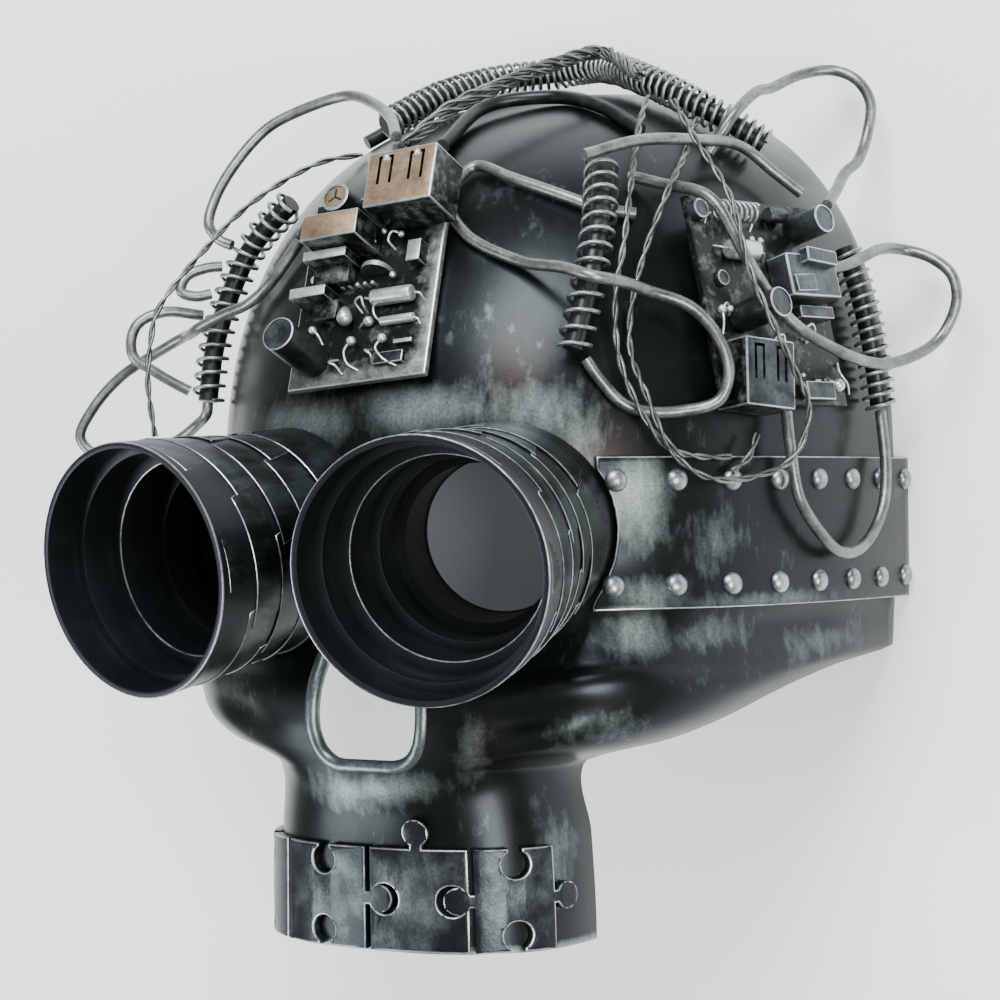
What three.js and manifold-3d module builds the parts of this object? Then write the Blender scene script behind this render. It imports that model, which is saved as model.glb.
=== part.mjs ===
import * as THREE from 'three';
import { mergeVertices } from 'three/addons/utils/BufferGeometryUtils.js';
import Module from 'manifold-3d';

// Driving sizes in millimetres. The mask is drawn as it is worn: x to the wearer's left,
// y to the back, z up from the bottom of the jaw. At the end it is laid on its rear rim.
const headWidth = 168;
const crownHeight = 210;
const domeBase = 105;
const rimDepth = 112;
const shellWall = 2;
const fitGap = 0.3;

const eyeSpan = 74.6;
const eyeHeight = 88.2;
const eyeSplay = 10;
const eyeDip = 7.5;
const barrelReach = 46;
const barrelLength = 47;
const barrelRadius = 29;
const barrelBase = 26.5;
const barrelWall = 1.6;
const stepRadius = 25.3;
const stepDepth = 9;
const ringRadius = 22.5;
const ringDepth = 18;
const throatRadius = 20.4;
const throatDepth = 30;
const lensRadius = 17.8;
const lensDepth = 53;
const lensThickness = 2;
const lensLip = 1.6;

const noseWidth = 30;
const noseHeight = 41;
const noseBottom = 42;
const noseRim = 1.7;

const bandHeight = 35;
const bandFloor = 77.5;
const bandThickness = 2;
const bandStart = 31;
const bandFlare = 1.6;
const rivetRadius = 2.65;
const rivetHeight = 1.5;
const rivetEnd = 4;
const rivetInset = 5.4;
const rivetCount = 8;

const pieceHeight = 23.5;
const pieceWidth = 24.5;
const pieceThickness = 2;
const pieceFloor = 0.6;
const pieceJoint = 1.2;
const knobRadius = 3.2;
const knobNeck = 3;

const cableRadius = 1.4;
const sleeveRadius = 1.8;
const wireRadius = 0.8;
const bundleRadius = 1.7;
const springRadius = 4.3;

const plateThickness = 1.5;
const frontPlate = [38, 50];
const sidePlate = [44, 50];
const frontSocket = [18.5, 14.5];
const sideSocket = [14.5, 16];

// Where the boards stand: turn, rise and roll. Then the cable ends that a part on the side board
// holds, as x, y and z from that board's back face.
const frontSeat = [-3, 23, 5];
const sideSeat = [64, 22, 0];
const standSeat = [56, 12, -5];
const sideEnds = { cable_crown_left: [14.6, 23.2, 10], cable_left_loop: [16.4, 8.5, 6] };

// The dome above domeBase: how square its arch is from behind, from the side and from above.
const archPower = 2.6;
const profilePower = 2.2;
const planPower = 2.45;

// Sections of the face below domeBase. Heights are shares of domeBase, half widths of half the
// head width, and both depths are shares of the rim depth: where the side ends, where the front is.
const faceRows = [
  { up: 0.00, wide: 0.468, side: 0.270, front: -0.050, power: 2.5 },
  { up: 0.24, wide: 0.460, side: 0.262, front: -0.052, power: 2.5 },
  { up: 0.35, wide: 0.442, side: 0.245, front: -0.060, power: 2.45 },
  { up: 0.395, wide: 0.455, side: 0.240, front: -0.066, power: 2.4 },
  { up: 0.42, wide: 0.540, side: 0.255, front: -0.072, power: 2.35 },
  { up: 0.445, wide: 0.670, side: 0.300, front: -0.076, power: 2.35 },
  { up: 0.49, wide: 0.790, side: 0.390, front: -0.080, power: 2.4 },
  { up: 0.545, wide: 0.880, side: 0.530, front: -0.078, power: 2.45 },
  { up: 0.59, wide: 0.945, side: 0.740, front: -0.070, power: 2.5 },
  { up: 0.62, wide: 0.990, side: 1.000, front: -0.062, power: 2.5 },
  { up: 0.72, wide: 1.000, side: 1.000, front: -0.035, power: 2.5 },
  { up: 0.85, wide: 1.000, side: 1.000, front: -0.010, power: 2.45 },
  { up: 1.00, wide: 1.000, side: 1.000, front: 0.000, power: 2.45 },
];

// Dents and swellings of the face. Turn and spread are degrees round the head, up and tall are
// shares of domeBase, and out is in millimetres, negative for a dent.
const faceDents = [
  { turn: 17, up: 0.76, spread: 13, tall: 0.11, out: -4.5 },
  { turn: 66, up: 0.69, spread: 16, tall: 0.05, out: -3.5 },
  { turn: 38, up: 0.61, spread: 12, tall: 0.05, out: 2.5 },
  { turn: 29, up: 0.51, spread: 9, tall: 0.04, out: -2 },
  { turn: 30, up: 0.40, spread: 12, tall: 0.04, out: 1.2 },
  { turn: 0, up: 0.36, spread: 16, tall: 0.05, out: 1.2 },
];

// Routes round the skull, each point as degrees of turn, degrees of rise and lift over the face.
const springRoutes = {
  spring_forehead: [[30, 41, 8], [30, 31, 8], [29, 24, 7.5], [28, 19, 6], [27, 15, 5]],
  spring_right: [[-33, 40, 5], [-39, 36, 5.5], [-43, 32, 6], [-45, 25, 6], [-46, 18, 6], [-46, 11, 5.5]],
  spring_left: [[80, 31, 5], [81, 25, 5], [82, 18, 5], [83, 9, 5]],
  spring_crown: [
    [-25, 57, 5], [-23, 67, 5.5], [-20, 76, 6], [0, 82, 6.5], [27, 80, 7], [46, 67, 5.5], [57, 58, 5],
    [64, 53, 5], [69, 49, 5],
  ],
};
const cableRoutes = {
  cable_forehead: [
    [37, 35, 2], [30, 36, 2], [24, 38, 2], [13, 42, 2], [5, 45, 2], [3, 39, 2], [8, 32, 2],
    [18, 27, 3.5], [25, 24, 10.5], [29, 22, 14.5], [33, 22, 12], [38, 22, 7], [45, 20, 7], [49, 16, 8],
    [50, 12, 9], [49, 9, 7], [44, 8, 3], [39, 8, 2], [35, 9, 2], [31, 12, 3], [29, 14, 4],
  ],
  cable_cut_end: [[27, 38, 15.5], [36, 42, 13], [48, 45, 9.5], [61, 47, 6], [68, 43, 5], [72, 39, 6]],
  cable_left_loop: [
    [36, 42, 2], [41, 39, 5], [47, 33, 14], [52, 26, 13], [56, 24, 9], [60, 21, 7], [64, 18, 7.5],
    [68, 16, 9], [73, 14, 12], [80, 14, 13], [85, 16, 18], [86, 18, 21.5], [86, 21, 25], [86, 24, 25],
    [86, 27, 20.5], [85, 29, 15], [81, 29, 13], [78, 28, 11], [75, 27, 9],
  ],
  cable_crown_left: [
    [56, 49, 0.9], [59, 51, 10], [65, 54, 14], [74, 57, 14], [80, 57, 19], [84, 55, 24], [85, 52, 26],
    [86, 49, 24.5], [86, 46, 19], [84, 43, 14.5], [80, 41, 12.5], [76, 38, 12],
  ],
  cable_left_u: [
    [62, 8, 5], [62, 4, 6], [63, -2, 7], [67, -9, 7], [71, -13, 7], [75, -13, 7], [79, -9, 7],
    [81, -3, 7.5], [82, 2, 7], [83, 8.5, 5],
  ],
  cable_right_top: [
    [-3, 44, 14], [-9, 50, 12], [-18, 54, 13], [-28, 55, 16], [-38, 51, 19], [-42, 47, 21], [-44, 41, 21],
    [-45, 36, 20], [-45, 33, 18], [-45, 32, 14], [-44, 32, 10.6],
  ],
  cable_right_small: [
    [-47, 22, 11], [-46, 21, 20.5], [-46, 19, 26], [-46, 17, 27], [-46, 15, 25.5], [-46, 14, 21],
    [-46, 13, 16], [-46, 12, 10.4],
  ],
  cable_right_tiny: [
    [-46, 29, 10.6], [-46, 28, 14], [-46, 26, 18], [-46, 24, 18], [-46, 24, 14], [-46, 25, 10.6],
  ],
  cable_right_low: [
    [-22, 33, 3], [-27, 27, 2.5], [-32, 24, 3.5], [-38, 22, 7], [-42, 20, 11], [-46, 19, 13], [-49, 19, 14],
    [-52, 17, 19.5], [-54, 13, 30], [-54, 9, 36.5], [-54, 6, 39], [-54, 4, 33.5], [-54, 4, 23.5],
    [-52, 6, 13.5], [-49, 8, 8], [-46, 9.5, 5.5], [-46, 10.8, 5.5],
  ],
};
const darkRoutes = {
  cable_crown_dark: [[-2, 51, 2], [-1, 63, 3], [13, 67, 2], [29, 61, 2], [39, 53, 2]],
  cable_crown_rear: [[-41, 57, 2.2], [-38, 66, 2.5], [-33, 76, 2.2]],
};
const wireRoutes = {
  wire_right: [
    [-38, 6, 19], [-38, 12, 22], [-38, 17, 23], [-38, 20, 23], [-38, 29, 17], [-38, 38, 12],
    [-35, 48, 6], [-30, 53, 1.3],
  ],
  wire_left_loop: [
    [40, 55, 9], [37, 47, 9], [35, 36, 9], [34, 28, 8.5], [33, 21, 6.5], [34, 14, 5], [37, 8, 6],
    [41, 4, 6], [47, 1, 6.5], [55, 1, 7], [61, 3, 9], [62, 8, 12], [57, 12, 17], [54, 16, 18],
    [51, 23, 17], [49, 32, 17.5], [46, 41, 15], [43, 49, 15],
  ],
  wire_left_inner: [
    [54, 55, 4], [46, 43, 8], [41, 35, 10], [38, 28, 5], [36, 20, 3], [36, 15, 3.5], [37, 10, 9],
    [41, 4, 8.5], [47, 3, 4.5], [52, 3, 4.5],
  ],
  wire_socket: [[57, 5.5, 4], [55, 3, 5], [52, 1.5, 5]],
};
const bundleRoutes = {
  wire_crown: [[-2, 44, 11], [0, 51, 11], [6, 58, 11], [16, 66, 11], [28, 71, 11.5], [39, 60, 11]],
};

const turnSteps = 30;
const domeSteps = 12;
const roundSides = 24;
const canSides = 12;

const wasm = await Module();
wasm.setup();

const paint = (color, roughness, metalness) => (
  new THREE.MeshStandardMaterial({ color, roughness, metalness })
);
const blackMetal = paint('#1b1f20', 0.38, 0.7);
const agedSilver = paint('#8e9290', 0.42, 0.9);
const gunmetal = paint('#4b5052', 0.45, 0.85);
const bronze = paint('#8a6f58', 0.45, 0.85);
const blackPlastic = paint('#121314', 0.35, 0.2);
const darkGlass = paint('#55585c', 0.25, 0.1);

const mask = new THREE.Group();
mask.rotation.x = -Math.PI / 2;
mask.position.set(0, -(crownHeight - shellWall / 2), rimDepth);

function addPiece(name, geometry, material, parent = mask) {
  const mesh = new THREE.Mesh(geometry, material);
  mesh.name = name;
  parent.add(mesh);
}

// A closed geometry as a solid that can be joined and cut, and back again.
function toSolid(geometry, matrix = new THREE.Matrix4()) {
  const plain = geometry.clone().applyMatrix4(matrix);
  plain.deleteAttribute('normal');
  plain.deleteAttribute('uv');
  const merged = mergeVertices(plain, 1e-4);
  const vertProperties = new Float32Array(merged.attributes.position.array);
  const triVerts = new Uint32Array(merged.index.array);
  return new wasm.Manifold(new wasm.Mesh({ numProp: 3, vertProperties, triVerts }));
}

function fromSolid(solid) {
  const mesh = solid.simplify(0.01).getMesh();
  const geometry = new THREE.BufferGeometry();
  geometry.setAttribute('position', new THREE.BufferAttribute(mesh.vertProperties, 3));
  geometry.setIndex(new THREE.BufferAttribute(mesh.triVerts, 1));
  geometry.computeVertexNormals();
  return geometry;
}

const power = (base, exponent) => Math.sign(base) * Math.abs(base) ** exponent;
const toRadians = THREE.MathUtils.degToRad;

function faceRow(share) {
  let i = 0;
  while (i < faceRows.length - 2 && share > faceRows[i + 1].up) i += 1;
  const low = faceRows[i];
  const high = faceRows[i + 1];
  const t = THREE.MathUtils.clamp((share - low.up) / (high.up - low.up), 0, 1);
  const mix = (key) => THREE.MathUtils.lerp(low[key], high[key], t);
  return { wide: mix('wide'), side: mix('side'), front: mix('front'), power: mix('power') };
}

// A point of the skull's smooth outer face. Turn runs from -90 at the right rim to 90 at the left,
// rise from -90 at the bottom of the jaw over 0 at domeBase to 90 at the crown.
function skullFace(turn, rise) {
  const sin = Math.sin(toRadians(turn));
  const cos = Math.max(Math.cos(toRadians(turn)), 0);
  if (rise >= 0) {
    const lift = Math.sin(toRadians(rise)) ** (2 / profilePower);
    const wide = (headWidth / 2) * Math.max(1 - lift ** archPower, 0) ** (1 / archPower);
    const deep = rimDepth * Math.max(1 - lift ** profilePower, 0) ** (1 / profilePower);
    return new THREE.Vector3(
      wide * power(sin, 2 / planPower),
      rimDepth - deep * cos ** (2 / planPower),
      THREE.MathUtils.lerp(domeBase, crownHeight, lift),
    );
  }
  const row = faceRow(1 + rise / 90);
  const side = row.side * rimDepth;
  const deep = side - row.front * rimDepth;
  return new THREE.Vector3(
    (headWidth / 2) * row.wide * power(sin, 2 / row.power),
    side - deep * cos ** (2 / row.power),
    domeBase * (1 + rise / 90),
  );
}

// The outward direction there, kept in the plane of the rim at the rear and at the bottom.
function skullNormal(turn, rise) {
  const step = 1.5;
  const [left, right] = [Math.max(turn - step, -90), Math.min(turn + step, 90)];
  const [low, high] = [Math.max(Math.min(rise, 88) - step, -90), Math.min(rise + step, 89.4)];
  const across = skullFace(right, rise).sub(skullFace(left, rise));
  const along = skullFace(turn, high).sub(skullFace(turn, low));
  const normal = across.cross(along);
  if (Math.abs(turn) === 90) normal.y = 0;
  if (rise === -90) normal.z = 0;
  return rise > 89 ? new THREE.Vector3(0, 0, 1) : normal.normalize();
}

function dentDepth(turn, rise) {
  let out = 0;
  for (const dent of faceDents) {
    for (const mirror of dent.turn === 0 ? [1] : [1, -1]) {
      const across = (turn - mirror * dent.turn) / dent.spread;
      const along = (1 + rise / 90 - dent.up) / dent.tall;
      out += dent.out * Math.exp(-across * across - along * along);
    }
  }
  return out;
}

function onSkull(turn, rise, lift = 0) {
  return skullFace(turn, rise).addScaledVector(skullNormal(turn, rise), dentDepth(turn, rise) + lift);
}

// The rise at which the face has a given height.
function riseAt(height) {
  if (height <= domeBase) return 90 * (height / domeBase - 1);
  const lift = (height - domeBase) / (crownHeight - domeBase);
  return THREE.MathUtils.radToDeg(Math.asin(Math.min(lift, 1) ** (profilePower / 2)));
}

// The turn at which the face has a given distance from the middle.
function turnAt(x, rise) {
  let [low, high] = [-90, 90];
  for (let i = 0; i < 20; i += 1) {
    const middle = (low + high) / 2;
    if (onSkull(middle, rise).x < x) low = middle;
    else high = middle;
  }
  return low;
}

const shellTurns = Array.from({ length: turnSteps + 1 }, (_, i) => -90 + (180 * i) / turnSteps);
const shellRises = [
  ...faceRows.map((row) => 90 * (row.up - 1)),
  ...Array.from({ length: domeSteps }, (_, i) => (90 * (i + 1)) / domeSteps),
];

// A closed sheet between two grids of points that share their rows and columns.
function sheetGeometry(outer, inner) {
  const columns = outer[0].length;
  const points = [...outer, ...inner].flat();
  const index = [];
  const quad = (a, b, c, d) => index.push(a, b, c, a, c, d);
  const at = (side, row, column) => (side * outer.length + row) * columns + column;
  for (let r = 0; r < outer.length - 1; r += 1) {
    for (let c = 0; c < columns - 1; c += 1) {
      quad(at(0, r, c), at(0, r, c + 1), at(0, r + 1, c + 1), at(0, r + 1, c));
      quad(at(1, r, c), at(1, r + 1, c), at(1, r + 1, c + 1), at(1, r, c + 1));
    }
    quad(at(0, r, 0), at(0, r + 1, 0), at(1, r + 1, 0), at(1, r, 0));
    const last = columns - 1;
    quad(at(0, r, last), at(1, r, last), at(1, r + 1, last), at(0, r + 1, last));
  }
  const top = outer.length - 1;
  for (let c = 0; c < columns - 1; c += 1) {
    quad(at(0, 0, c), at(1, 0, c), at(1, 0, c + 1), at(0, 0, c + 1));
    quad(at(0, top, c), at(0, top, c + 1), at(1, top, c + 1), at(1, top, c));
  }
  const geometry = new THREE.BufferGeometry().setFromPoints(points);
  geometry.setIndex(index);
  return geometry;
}

const skullGrid = (lift) => shellRises.map((rise) => shellTurns.map((turn) => onSkull(turn, rise, lift)));

// The skull as a full body, grown by a lift, which cuts whatever sits on the shell.
function skullBody(lift) {
  const grid = skullGrid(lift);
  const back = grid.map((row) => (
    shellTurns.map((_, c) => row[0].clone().lerp(row[turnSteps], c / turnSteps))
  ));
  return toSolid(sheetGeometry(grid, back));
}

// The frame of one eye barrel: its z axis runs from the rim in to the face.
function eyeMatrix(side) {
  const splay = toRadians(eyeSplay);
  const dip = toRadians(eyeDip);
  const inward = new THREE.Vector3(
    -side * Math.sin(splay) * Math.cos(dip),
    Math.cos(splay) * Math.cos(dip),
    Math.sin(dip),
  );
  const across = new THREE.Vector3(0, 0, 1).cross(inward).normalize();
  const up = inward.clone().cross(across);
  const rim = new THREE.Vector3((side * eyeSpan) / 2, -barrelReach, eyeHeight);
  return new THREE.Matrix4().makeBasis(across, up, inward).setPosition(rim);
}

// A closed turned body about its z axis, from pairs of radius and depth.
function turned(pairs, sides = roundSides) {
  const profile = pairs.map(([radius, depth]) => new THREE.Vector2(radius, depth));
  return new THREE.LatheGeometry(profile, sides).rotateX(Math.PI / 2).rotateZ(Math.PI / sides);
}

// The nose hole, rounded at the top and flatter below.
function noseOutline() {
  const half = noseWidth / 2;
  const low = noseBottom;
  const high = noseBottom + noseHeight;
  const shoulder = noseBottom + noseHeight * 0.3;
  const outline = new THREE.Shape();
  outline.moveTo(-half * 0.4, low);
  outline.lineTo(half * 0.4, low);
  outline.quadraticCurveTo(half, low, half, shoulder);
  outline.quadraticCurveTo(half * 0.95, high, 0, high);
  outline.quadraticCurveTo(-half * 0.95, high, -half, shoulder);
  outline.quadraticCurveTo(-half, low, -half * 0.4, low);
  return outline;
}

// A closed ring of round section through points, which wraps round on itself.
function ringGeometry(points, radius, sides) {
  const count = points.length;
  const corners = [];
  const index = [];
  points.forEach((point, i) => {
    const along = points[(i + 1) % count].clone().sub(points[(i + count - 1) % count]).normalize();
    const out = new THREE.Vector3(0, -1, 0).addScaledVector(along, along.y).normalize();
    const across = along.clone().cross(out);
    for (let k = 0; k < sides; k += 1) {
      const angle = (2 * Math.PI * k) / sides;
      const corner = point.clone().addScaledVector(out, radius * Math.cos(angle));
      corners.push(corner.addScaledVector(across, radius * Math.sin(angle)));
      const [a, b] = [i * sides + k, i * sides + ((k + 1) % sides)];
      const [c, d] = [a, b].map((near) => (near + sides) % (count * sides));
      index.push(a, b, c, b, d, c);
    }
  });
  const geometry = new THREE.BufferGeometry().setFromPoints(corners);
  geometry.setIndex(index);
  return geometry;
}

// The nose hole's rim: a round bead along the edge of the hole, round the middle of the wall.
function noseRimSolid() {
  const count = 22;
  const flat = noseOutline().getSpacedPoints(count).slice(0, count);
  const ring = flat.map((point) => {
    const rise = riseAt(point.y);
    return onSkull(turnAt(point.x, rise), rise, -shellWall / 2);
  });
  return toSolid(ringGeometry(ring, noseRim, 6));
}

// A round tube along points, with flat ends.
function tube(points, radius, sides, steps) {
  const curve = new THREE.CatmullRomCurve3(points, false, 'centripetal');
  const section = new THREE.Shape();
  for (let i = 0; i < sides; i += 1) {
    const angle = (2 * Math.PI * i) / sides;
    const [x, y] = [radius * Math.cos(angle), radius * Math.sin(angle)];
    if (i === 0) section.moveTo(x, y);
    else section.lineTo(x, y);
  }
  return new THREE.ExtrudeGeometry(section, { steps, extrudePath: curve, bevelEnabled: false });
}

// A barrel's outside, as radius and depth from its rim. Its far end is cut by the face.
const barrelFar = barrelLength + 14;
const barrelOutside = [
  [barrelRadius, 0],
  [barrelRadius * 0.985, barrelLength * 0.3],
  [barrelBase, barrelLength * 0.75],
  [barrelBase, barrelFar],
];

// The space that a barrel takes, with its clearance.
function barrelSpace(side) {
  const wall = barrelOutside.map(([radius, depth]) => [radius + fitGap, depth]);
  return toSolid(turned([[0, 0], ...wall, [0, barrelFar]]), eyeMatrix(side));
}

function makeShell() {
  let shell = toSolid(sheetGeometry(skullGrid(0), skullGrid(-shellWall)));
  const cutOptions = { depth: 60, bevelEnabled: false, curveSegments: 7 };
  const noseCut = new THREE.ExtrudeGeometry(noseOutline(), cutOptions);
  noseCut.rotateX(Math.PI / 2).translate(0, 30, 0);
  const seat = lensDepth + lensThickness + fitGap;
  const bore = turned([
    [0, 30],
    [lensRadius + fitGap, 30],
    [lensRadius + fitGap, seat],
    [lensRadius - lensLip, seat],
    [lensRadius - lensLip, 75],
    [0, 75],
  ]);
  let bead = noseRimSolid();
  for (const side of [-1, 1]) bead = bead.subtract(barrelSpace(side));
  shell = shell.subtract(toSolid(noseCut)).add(bead);
  for (const side of [-1, 1]) shell = shell.subtract(toSolid(bore, eyeMatrix(side)));
  addPiece('skull_shell', fromSolid(shell), blackMetal);
}

function makeBarrel(name, side, face) {
  const bore = lensRadius + fitGap;
  const lipFace = lensDepth + lensThickness + fitGap;
  const barrel = turned([
    ...barrelOutside,
    [lensRadius - lensLip, barrelFar],
    [lensRadius - lensLip, lipFace],
    [bore, lipFace],
    [bore, throatDepth + 10],
    [throatRadius, throatDepth + 10],
    [throatRadius, throatDepth],
    [ringRadius, throatDepth],
    [ringRadius, ringDepth],
    [stepRadius, ringDepth],
    [stepRadius, stepDepth],
    [barrelRadius - barrelWall, stepDepth],
    [barrelRadius - barrelWall, 0],
    [barrelRadius, 0],
  ]);
  const solid = toSolid(barrel, eyeMatrix(side)).subtract(face);
  addPiece(`barrel_${name}`, fromSolid(solid), blackMetal);
  const lens = turned([
    [0, lensDepth],
    [lensRadius, lensDepth],
    [lensRadius, lensDepth + lensThickness],
    [0, lensDepth + lensThickness],
  ]);
  addPiece(`lens_${name}`, fromSolid(toSolid(lens, eyeMatrix(side))), darkGlass);
}

// The band follows the head from the barrel back to the rim, and stands off a little there.
function bandPoint(side, turn, height, lift) {
  const back = (turn - bandStart) / (90 - bandStart);
  const point = onSkull(turn, riseAt(height), fitGap + bandFlare * back ** 3 + lift);
  point.x *= side;
  return point;
}

function bandLength(height) {
  const turns = Array.from({ length: 60 }, (_, i) => THREE.MathUtils.lerp(bandStart, 90, i / 59));
  return new THREE.CatmullRomCurve3(turns.map((turn) => bandPoint(1, turn, height, 0))).getLength();
}

function bandTurn(distance, height) {
  let turn = bandStart;
  let length = 0;
  let last = bandPoint(1, turn, height, 0);
  while (length < distance && turn < 90) {
    turn += 0.25;
    const next = bandPoint(1, turn, height, 0);
    length += next.distanceTo(last);
    last = next;
  }
  return turn;
}

function rivetSolid(side, distance, height) {
  const turn = bandTurn(distance, height);
  const seat = bandPoint(side, turn, height, bandThickness);
  const outward = seat.clone().sub(bandPoint(side, turn, height, 0)).normalize();
  const spin = new THREE.Quaternion().setFromUnitVectors(new THREE.Vector3(0, 0, 1), outward);
  const dome = [[0, -1], [rivetRadius, -1], [rivetRadius * 0.7, rivetHeight * 0.7], [0, rivetHeight]];
  const head = turned(dome, 6);
  return toSolid(head, new THREE.Matrix4().compose(seat, spin, new THREE.Vector3(1, 1, 1)));
}

function makeBand(name, side) {
  const columns = 10;
  const rows = 3;
  const turnAt = (column) => THREE.MathUtils.lerp(bandStart, 90, column / columns);
  const turns = Array.from({ length: columns + 1 }, (_, column) => turnAt(column));
  const heights = Array.from({ length: rows + 1 }, (_, r) => bandFloor + (bandHeight * r) / rows);
  const grid = (lift) => heights.map((height) => turns.map((turn) => bandPoint(side, turn, height, lift)));
  const [outer, inner] = side > 0 ? [grid(bandThickness), grid(0)] : [grid(0), grid(bandThickness)];
  let band = toSolid(sheetGeometry(outer, inner));
  for (const height of [bandFloor + rivetInset, bandFloor + bandHeight - rivetInset]) {
    const span = bandLength(height) - 2 * rivetEnd;
    for (let i = 0; i < rivetCount; i += 1) {
      band = band.add(rivetSolid(side, rivetEnd + (i * span) / (rivetCount - 1), height));
    }
  }
  addPiece(`band_${name}`, fromSolid(band.subtract(barrelSpace(side))), blackMetal);
}

// One jigsaw piece stands on its own length of the jaw, cut straight out from the middle of it.
function pieceMatrix(turn) {
  const outward = skullNormal(turn, -90);
  outward.z = 0;
  outward.normalize();
  const up = new THREE.Vector3(0, 0, 1);
  const across = up.clone().cross(outward);
  return new THREE.Matrix4().makeBasis(across, up, outward).setPosition(skullFace(turn, -90));
}

function circleShape(x, y, radius) {
  const shape = new THREE.Shape();
  shape.absarc(x, y, radius, 0, 2 * Math.PI, false);
  return shape;
}

// A knob as a solid: a round head on a neck, grown by a clearance. Way is its direction in degrees.
function knobSolid(turn, x, y, way, grow = 0) {
  const [dx, dy] = [Math.cos(toRadians(way)), Math.sin(toRadians(way))];
  const reach = knobRadius * 1.15;
  const half = knobNeck / 2 + grow;
  const neck = new THREE.Shape();
  neck.moveTo(x - dx * 2 + dy * half, y - dy * 2 - dx * half);
  neck.lineTo(x + dx * reach + dy * half, y + dy * reach - dx * half);
  neck.lineTo(x + dx * reach - dy * half, y + dy * reach + dx * half);
  neck.lineTo(x - dx * 2 - dy * half, y - dy * 2 + dx * half);
  const head = circleShape(x + dx * reach, y + dy * reach, knobRadius + grow);
  const options = { depth: 20, bevelEnabled: false, curveSegments: 5 };
  const place = pieceMatrix(turn).multiply(new THREE.Matrix4().makeTranslation(0, 0, -10));
  const solids = [neck, head].map((shape) => toSolid(new THREE.ExtrudeGeometry(shape, options), place));
  return solids[0].add(solids[1]);
}

// Where the four pieces meet, as degrees of turn round the jaw.
function jawTurn(distance) {
  let turn = 0;
  let length = 0;
  let last = skullFace(0, -90);
  while (length < Math.abs(distance)) {
    turn += 0.1;
    const next = skullFace(turn, -90);
    length += next.distanceTo(last);
    last = next;
  }
  return Math.sign(distance) * turn;
}

const jawSlab = () => {
  const knobTop = pieceFloor + pieceHeight + knobRadius * 2.5;
  const rises = [pieceFloor, domeBase * faceRows[1].up, knobTop].map(riseAt);
  const grid = (lift) => rises.map((rise) => shellTurns.map((turn) => onSkull(turn, rise, lift)));
  return toSolid(sheetGeometry(grid(fitGap + pieceThickness), grid(fitGap)));
};

function makeJigsaw() {
  const slab = jawSlab();
  const middle = pieceFloor + pieceHeight / 2;
  const top = pieceFloor + pieceHeight;
  const outer = pieceWidth * 0.8;
  const edges = [-2 * pieceWidth, -pieceWidth, 0, pieceWidth, pieceWidth + outer];
  const names = ['jigsaw_far_right', 'jigsaw_right', 'jigsaw_centre', 'jigsaw_left'];
  const knobs = [
    [],
    [{ edge: 1, way: 0 }],
    [{ top: true }],
    [{ edge: -1, way: 180 }, { edge: 1, way: 0 }],
  ];
  const spans = [[0, 1], [1, 2], [2, 3], [3, 4]].map(([a, b]) => [edges[a], edges[b]]);
  const turns = spans.map(([a, b]) => jawTurn((a + b) / 2));
  const knobSolids = (i, grow) => knobs[i].map((knob) => {
    const half = (spans[i][1] - spans[i][0] - pieceJoint) / 2;
    if (knob.top) return knobSolid(turns[i], 0, top, 90, grow);
    return knobSolid(turns[i], knob.edge * half, middle, knob.way, grow);
  });
  names.forEach((name, i) => {
    const width = spans[i][1] - spans[i][0] - pieceJoint;
    const block = new THREE.BoxGeometry(width, pieceHeight, 20).translate(0, middle, 0);
    let piece = toSolid(block, pieceMatrix(turns[i]));
    for (const knob of knobSolids(i, 0)) piece = piece.add(knob);
    piece = piece.intersect(slab);
    for (const next of [i - 1, i + 1]) {
      if (next < 0 || next >= names.length) continue;
      for (const knob of knobSolids(next, fitGap)) piece = piece.subtract(knob);
    }
    if (i !== 2) {
      piece = piece.subtract(knobSolid(turns[i], 0, top, -90, 0));
      piece = piece.subtract(knobSolid(turns[i], 0, pieceFloor, 90, 0));
    }
    addPiece(name, fromSolid(piece), gunmetal);
  });
}

// The plane of a flat board that stands on the face, rolled about its own normal.
function boardMatrix([turn, rise, roll]) {
  const outward = skullNormal(turn, rise);
  const across = new THREE.Vector3(0, 0, 1).cross(outward).normalize();
  const basis = new THREE.Matrix4().makeBasis(across, outward.clone().cross(across), outward);
  return basis.multiply(new THREE.Matrix4().makeRotationZ(toRadians(roll)))
    .setPosition(onSkull(turn, rise, fitGap));
}

function boardGroup(seat) {
  const group = new THREE.Group();
  group.applyMatrix4(boardMatrix(seat));
  mask.add(group);
  return group;
}

// Small parts on a board, all given from its back face: x across, y up and z out of it.
function block(x, y, width, height, low, high) {
  return toSolid(new THREE.BoxGeometry(width, height, high - low).translate(x, y, (low + high) / 2));
}

function can(x, y, radius, low, high, sides = canSides) {
  const body = turned([[0, low], [radius, low], [radius, high], [0, high]], sides);
  return toSolid(body.translate(x, y, 0));
}

function lyingCan(x, y, z, radius, length, sides = 8) {
  const body = new THREE.CylinderGeometry(radius, radius, length, sides).rotateZ(Math.PI / 2);
  return toSolid(body.translate(x, y, z));
}

function socketBlock(x, y, width, height, low, high) {
  let socket = block(x, y, width, height, low, high);
  for (const side of [-1, 1]) {
    for (const leg of [-1, 1]) {
      const slotX = x + side * width * 0.23 + leg * width * 0.08;
      socket = socket.subtract(block(slotX, y + height * 0.15, 0.8, height * 0.5, high - 1, high + 1));
    }
  }
  return socket;
}

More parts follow.
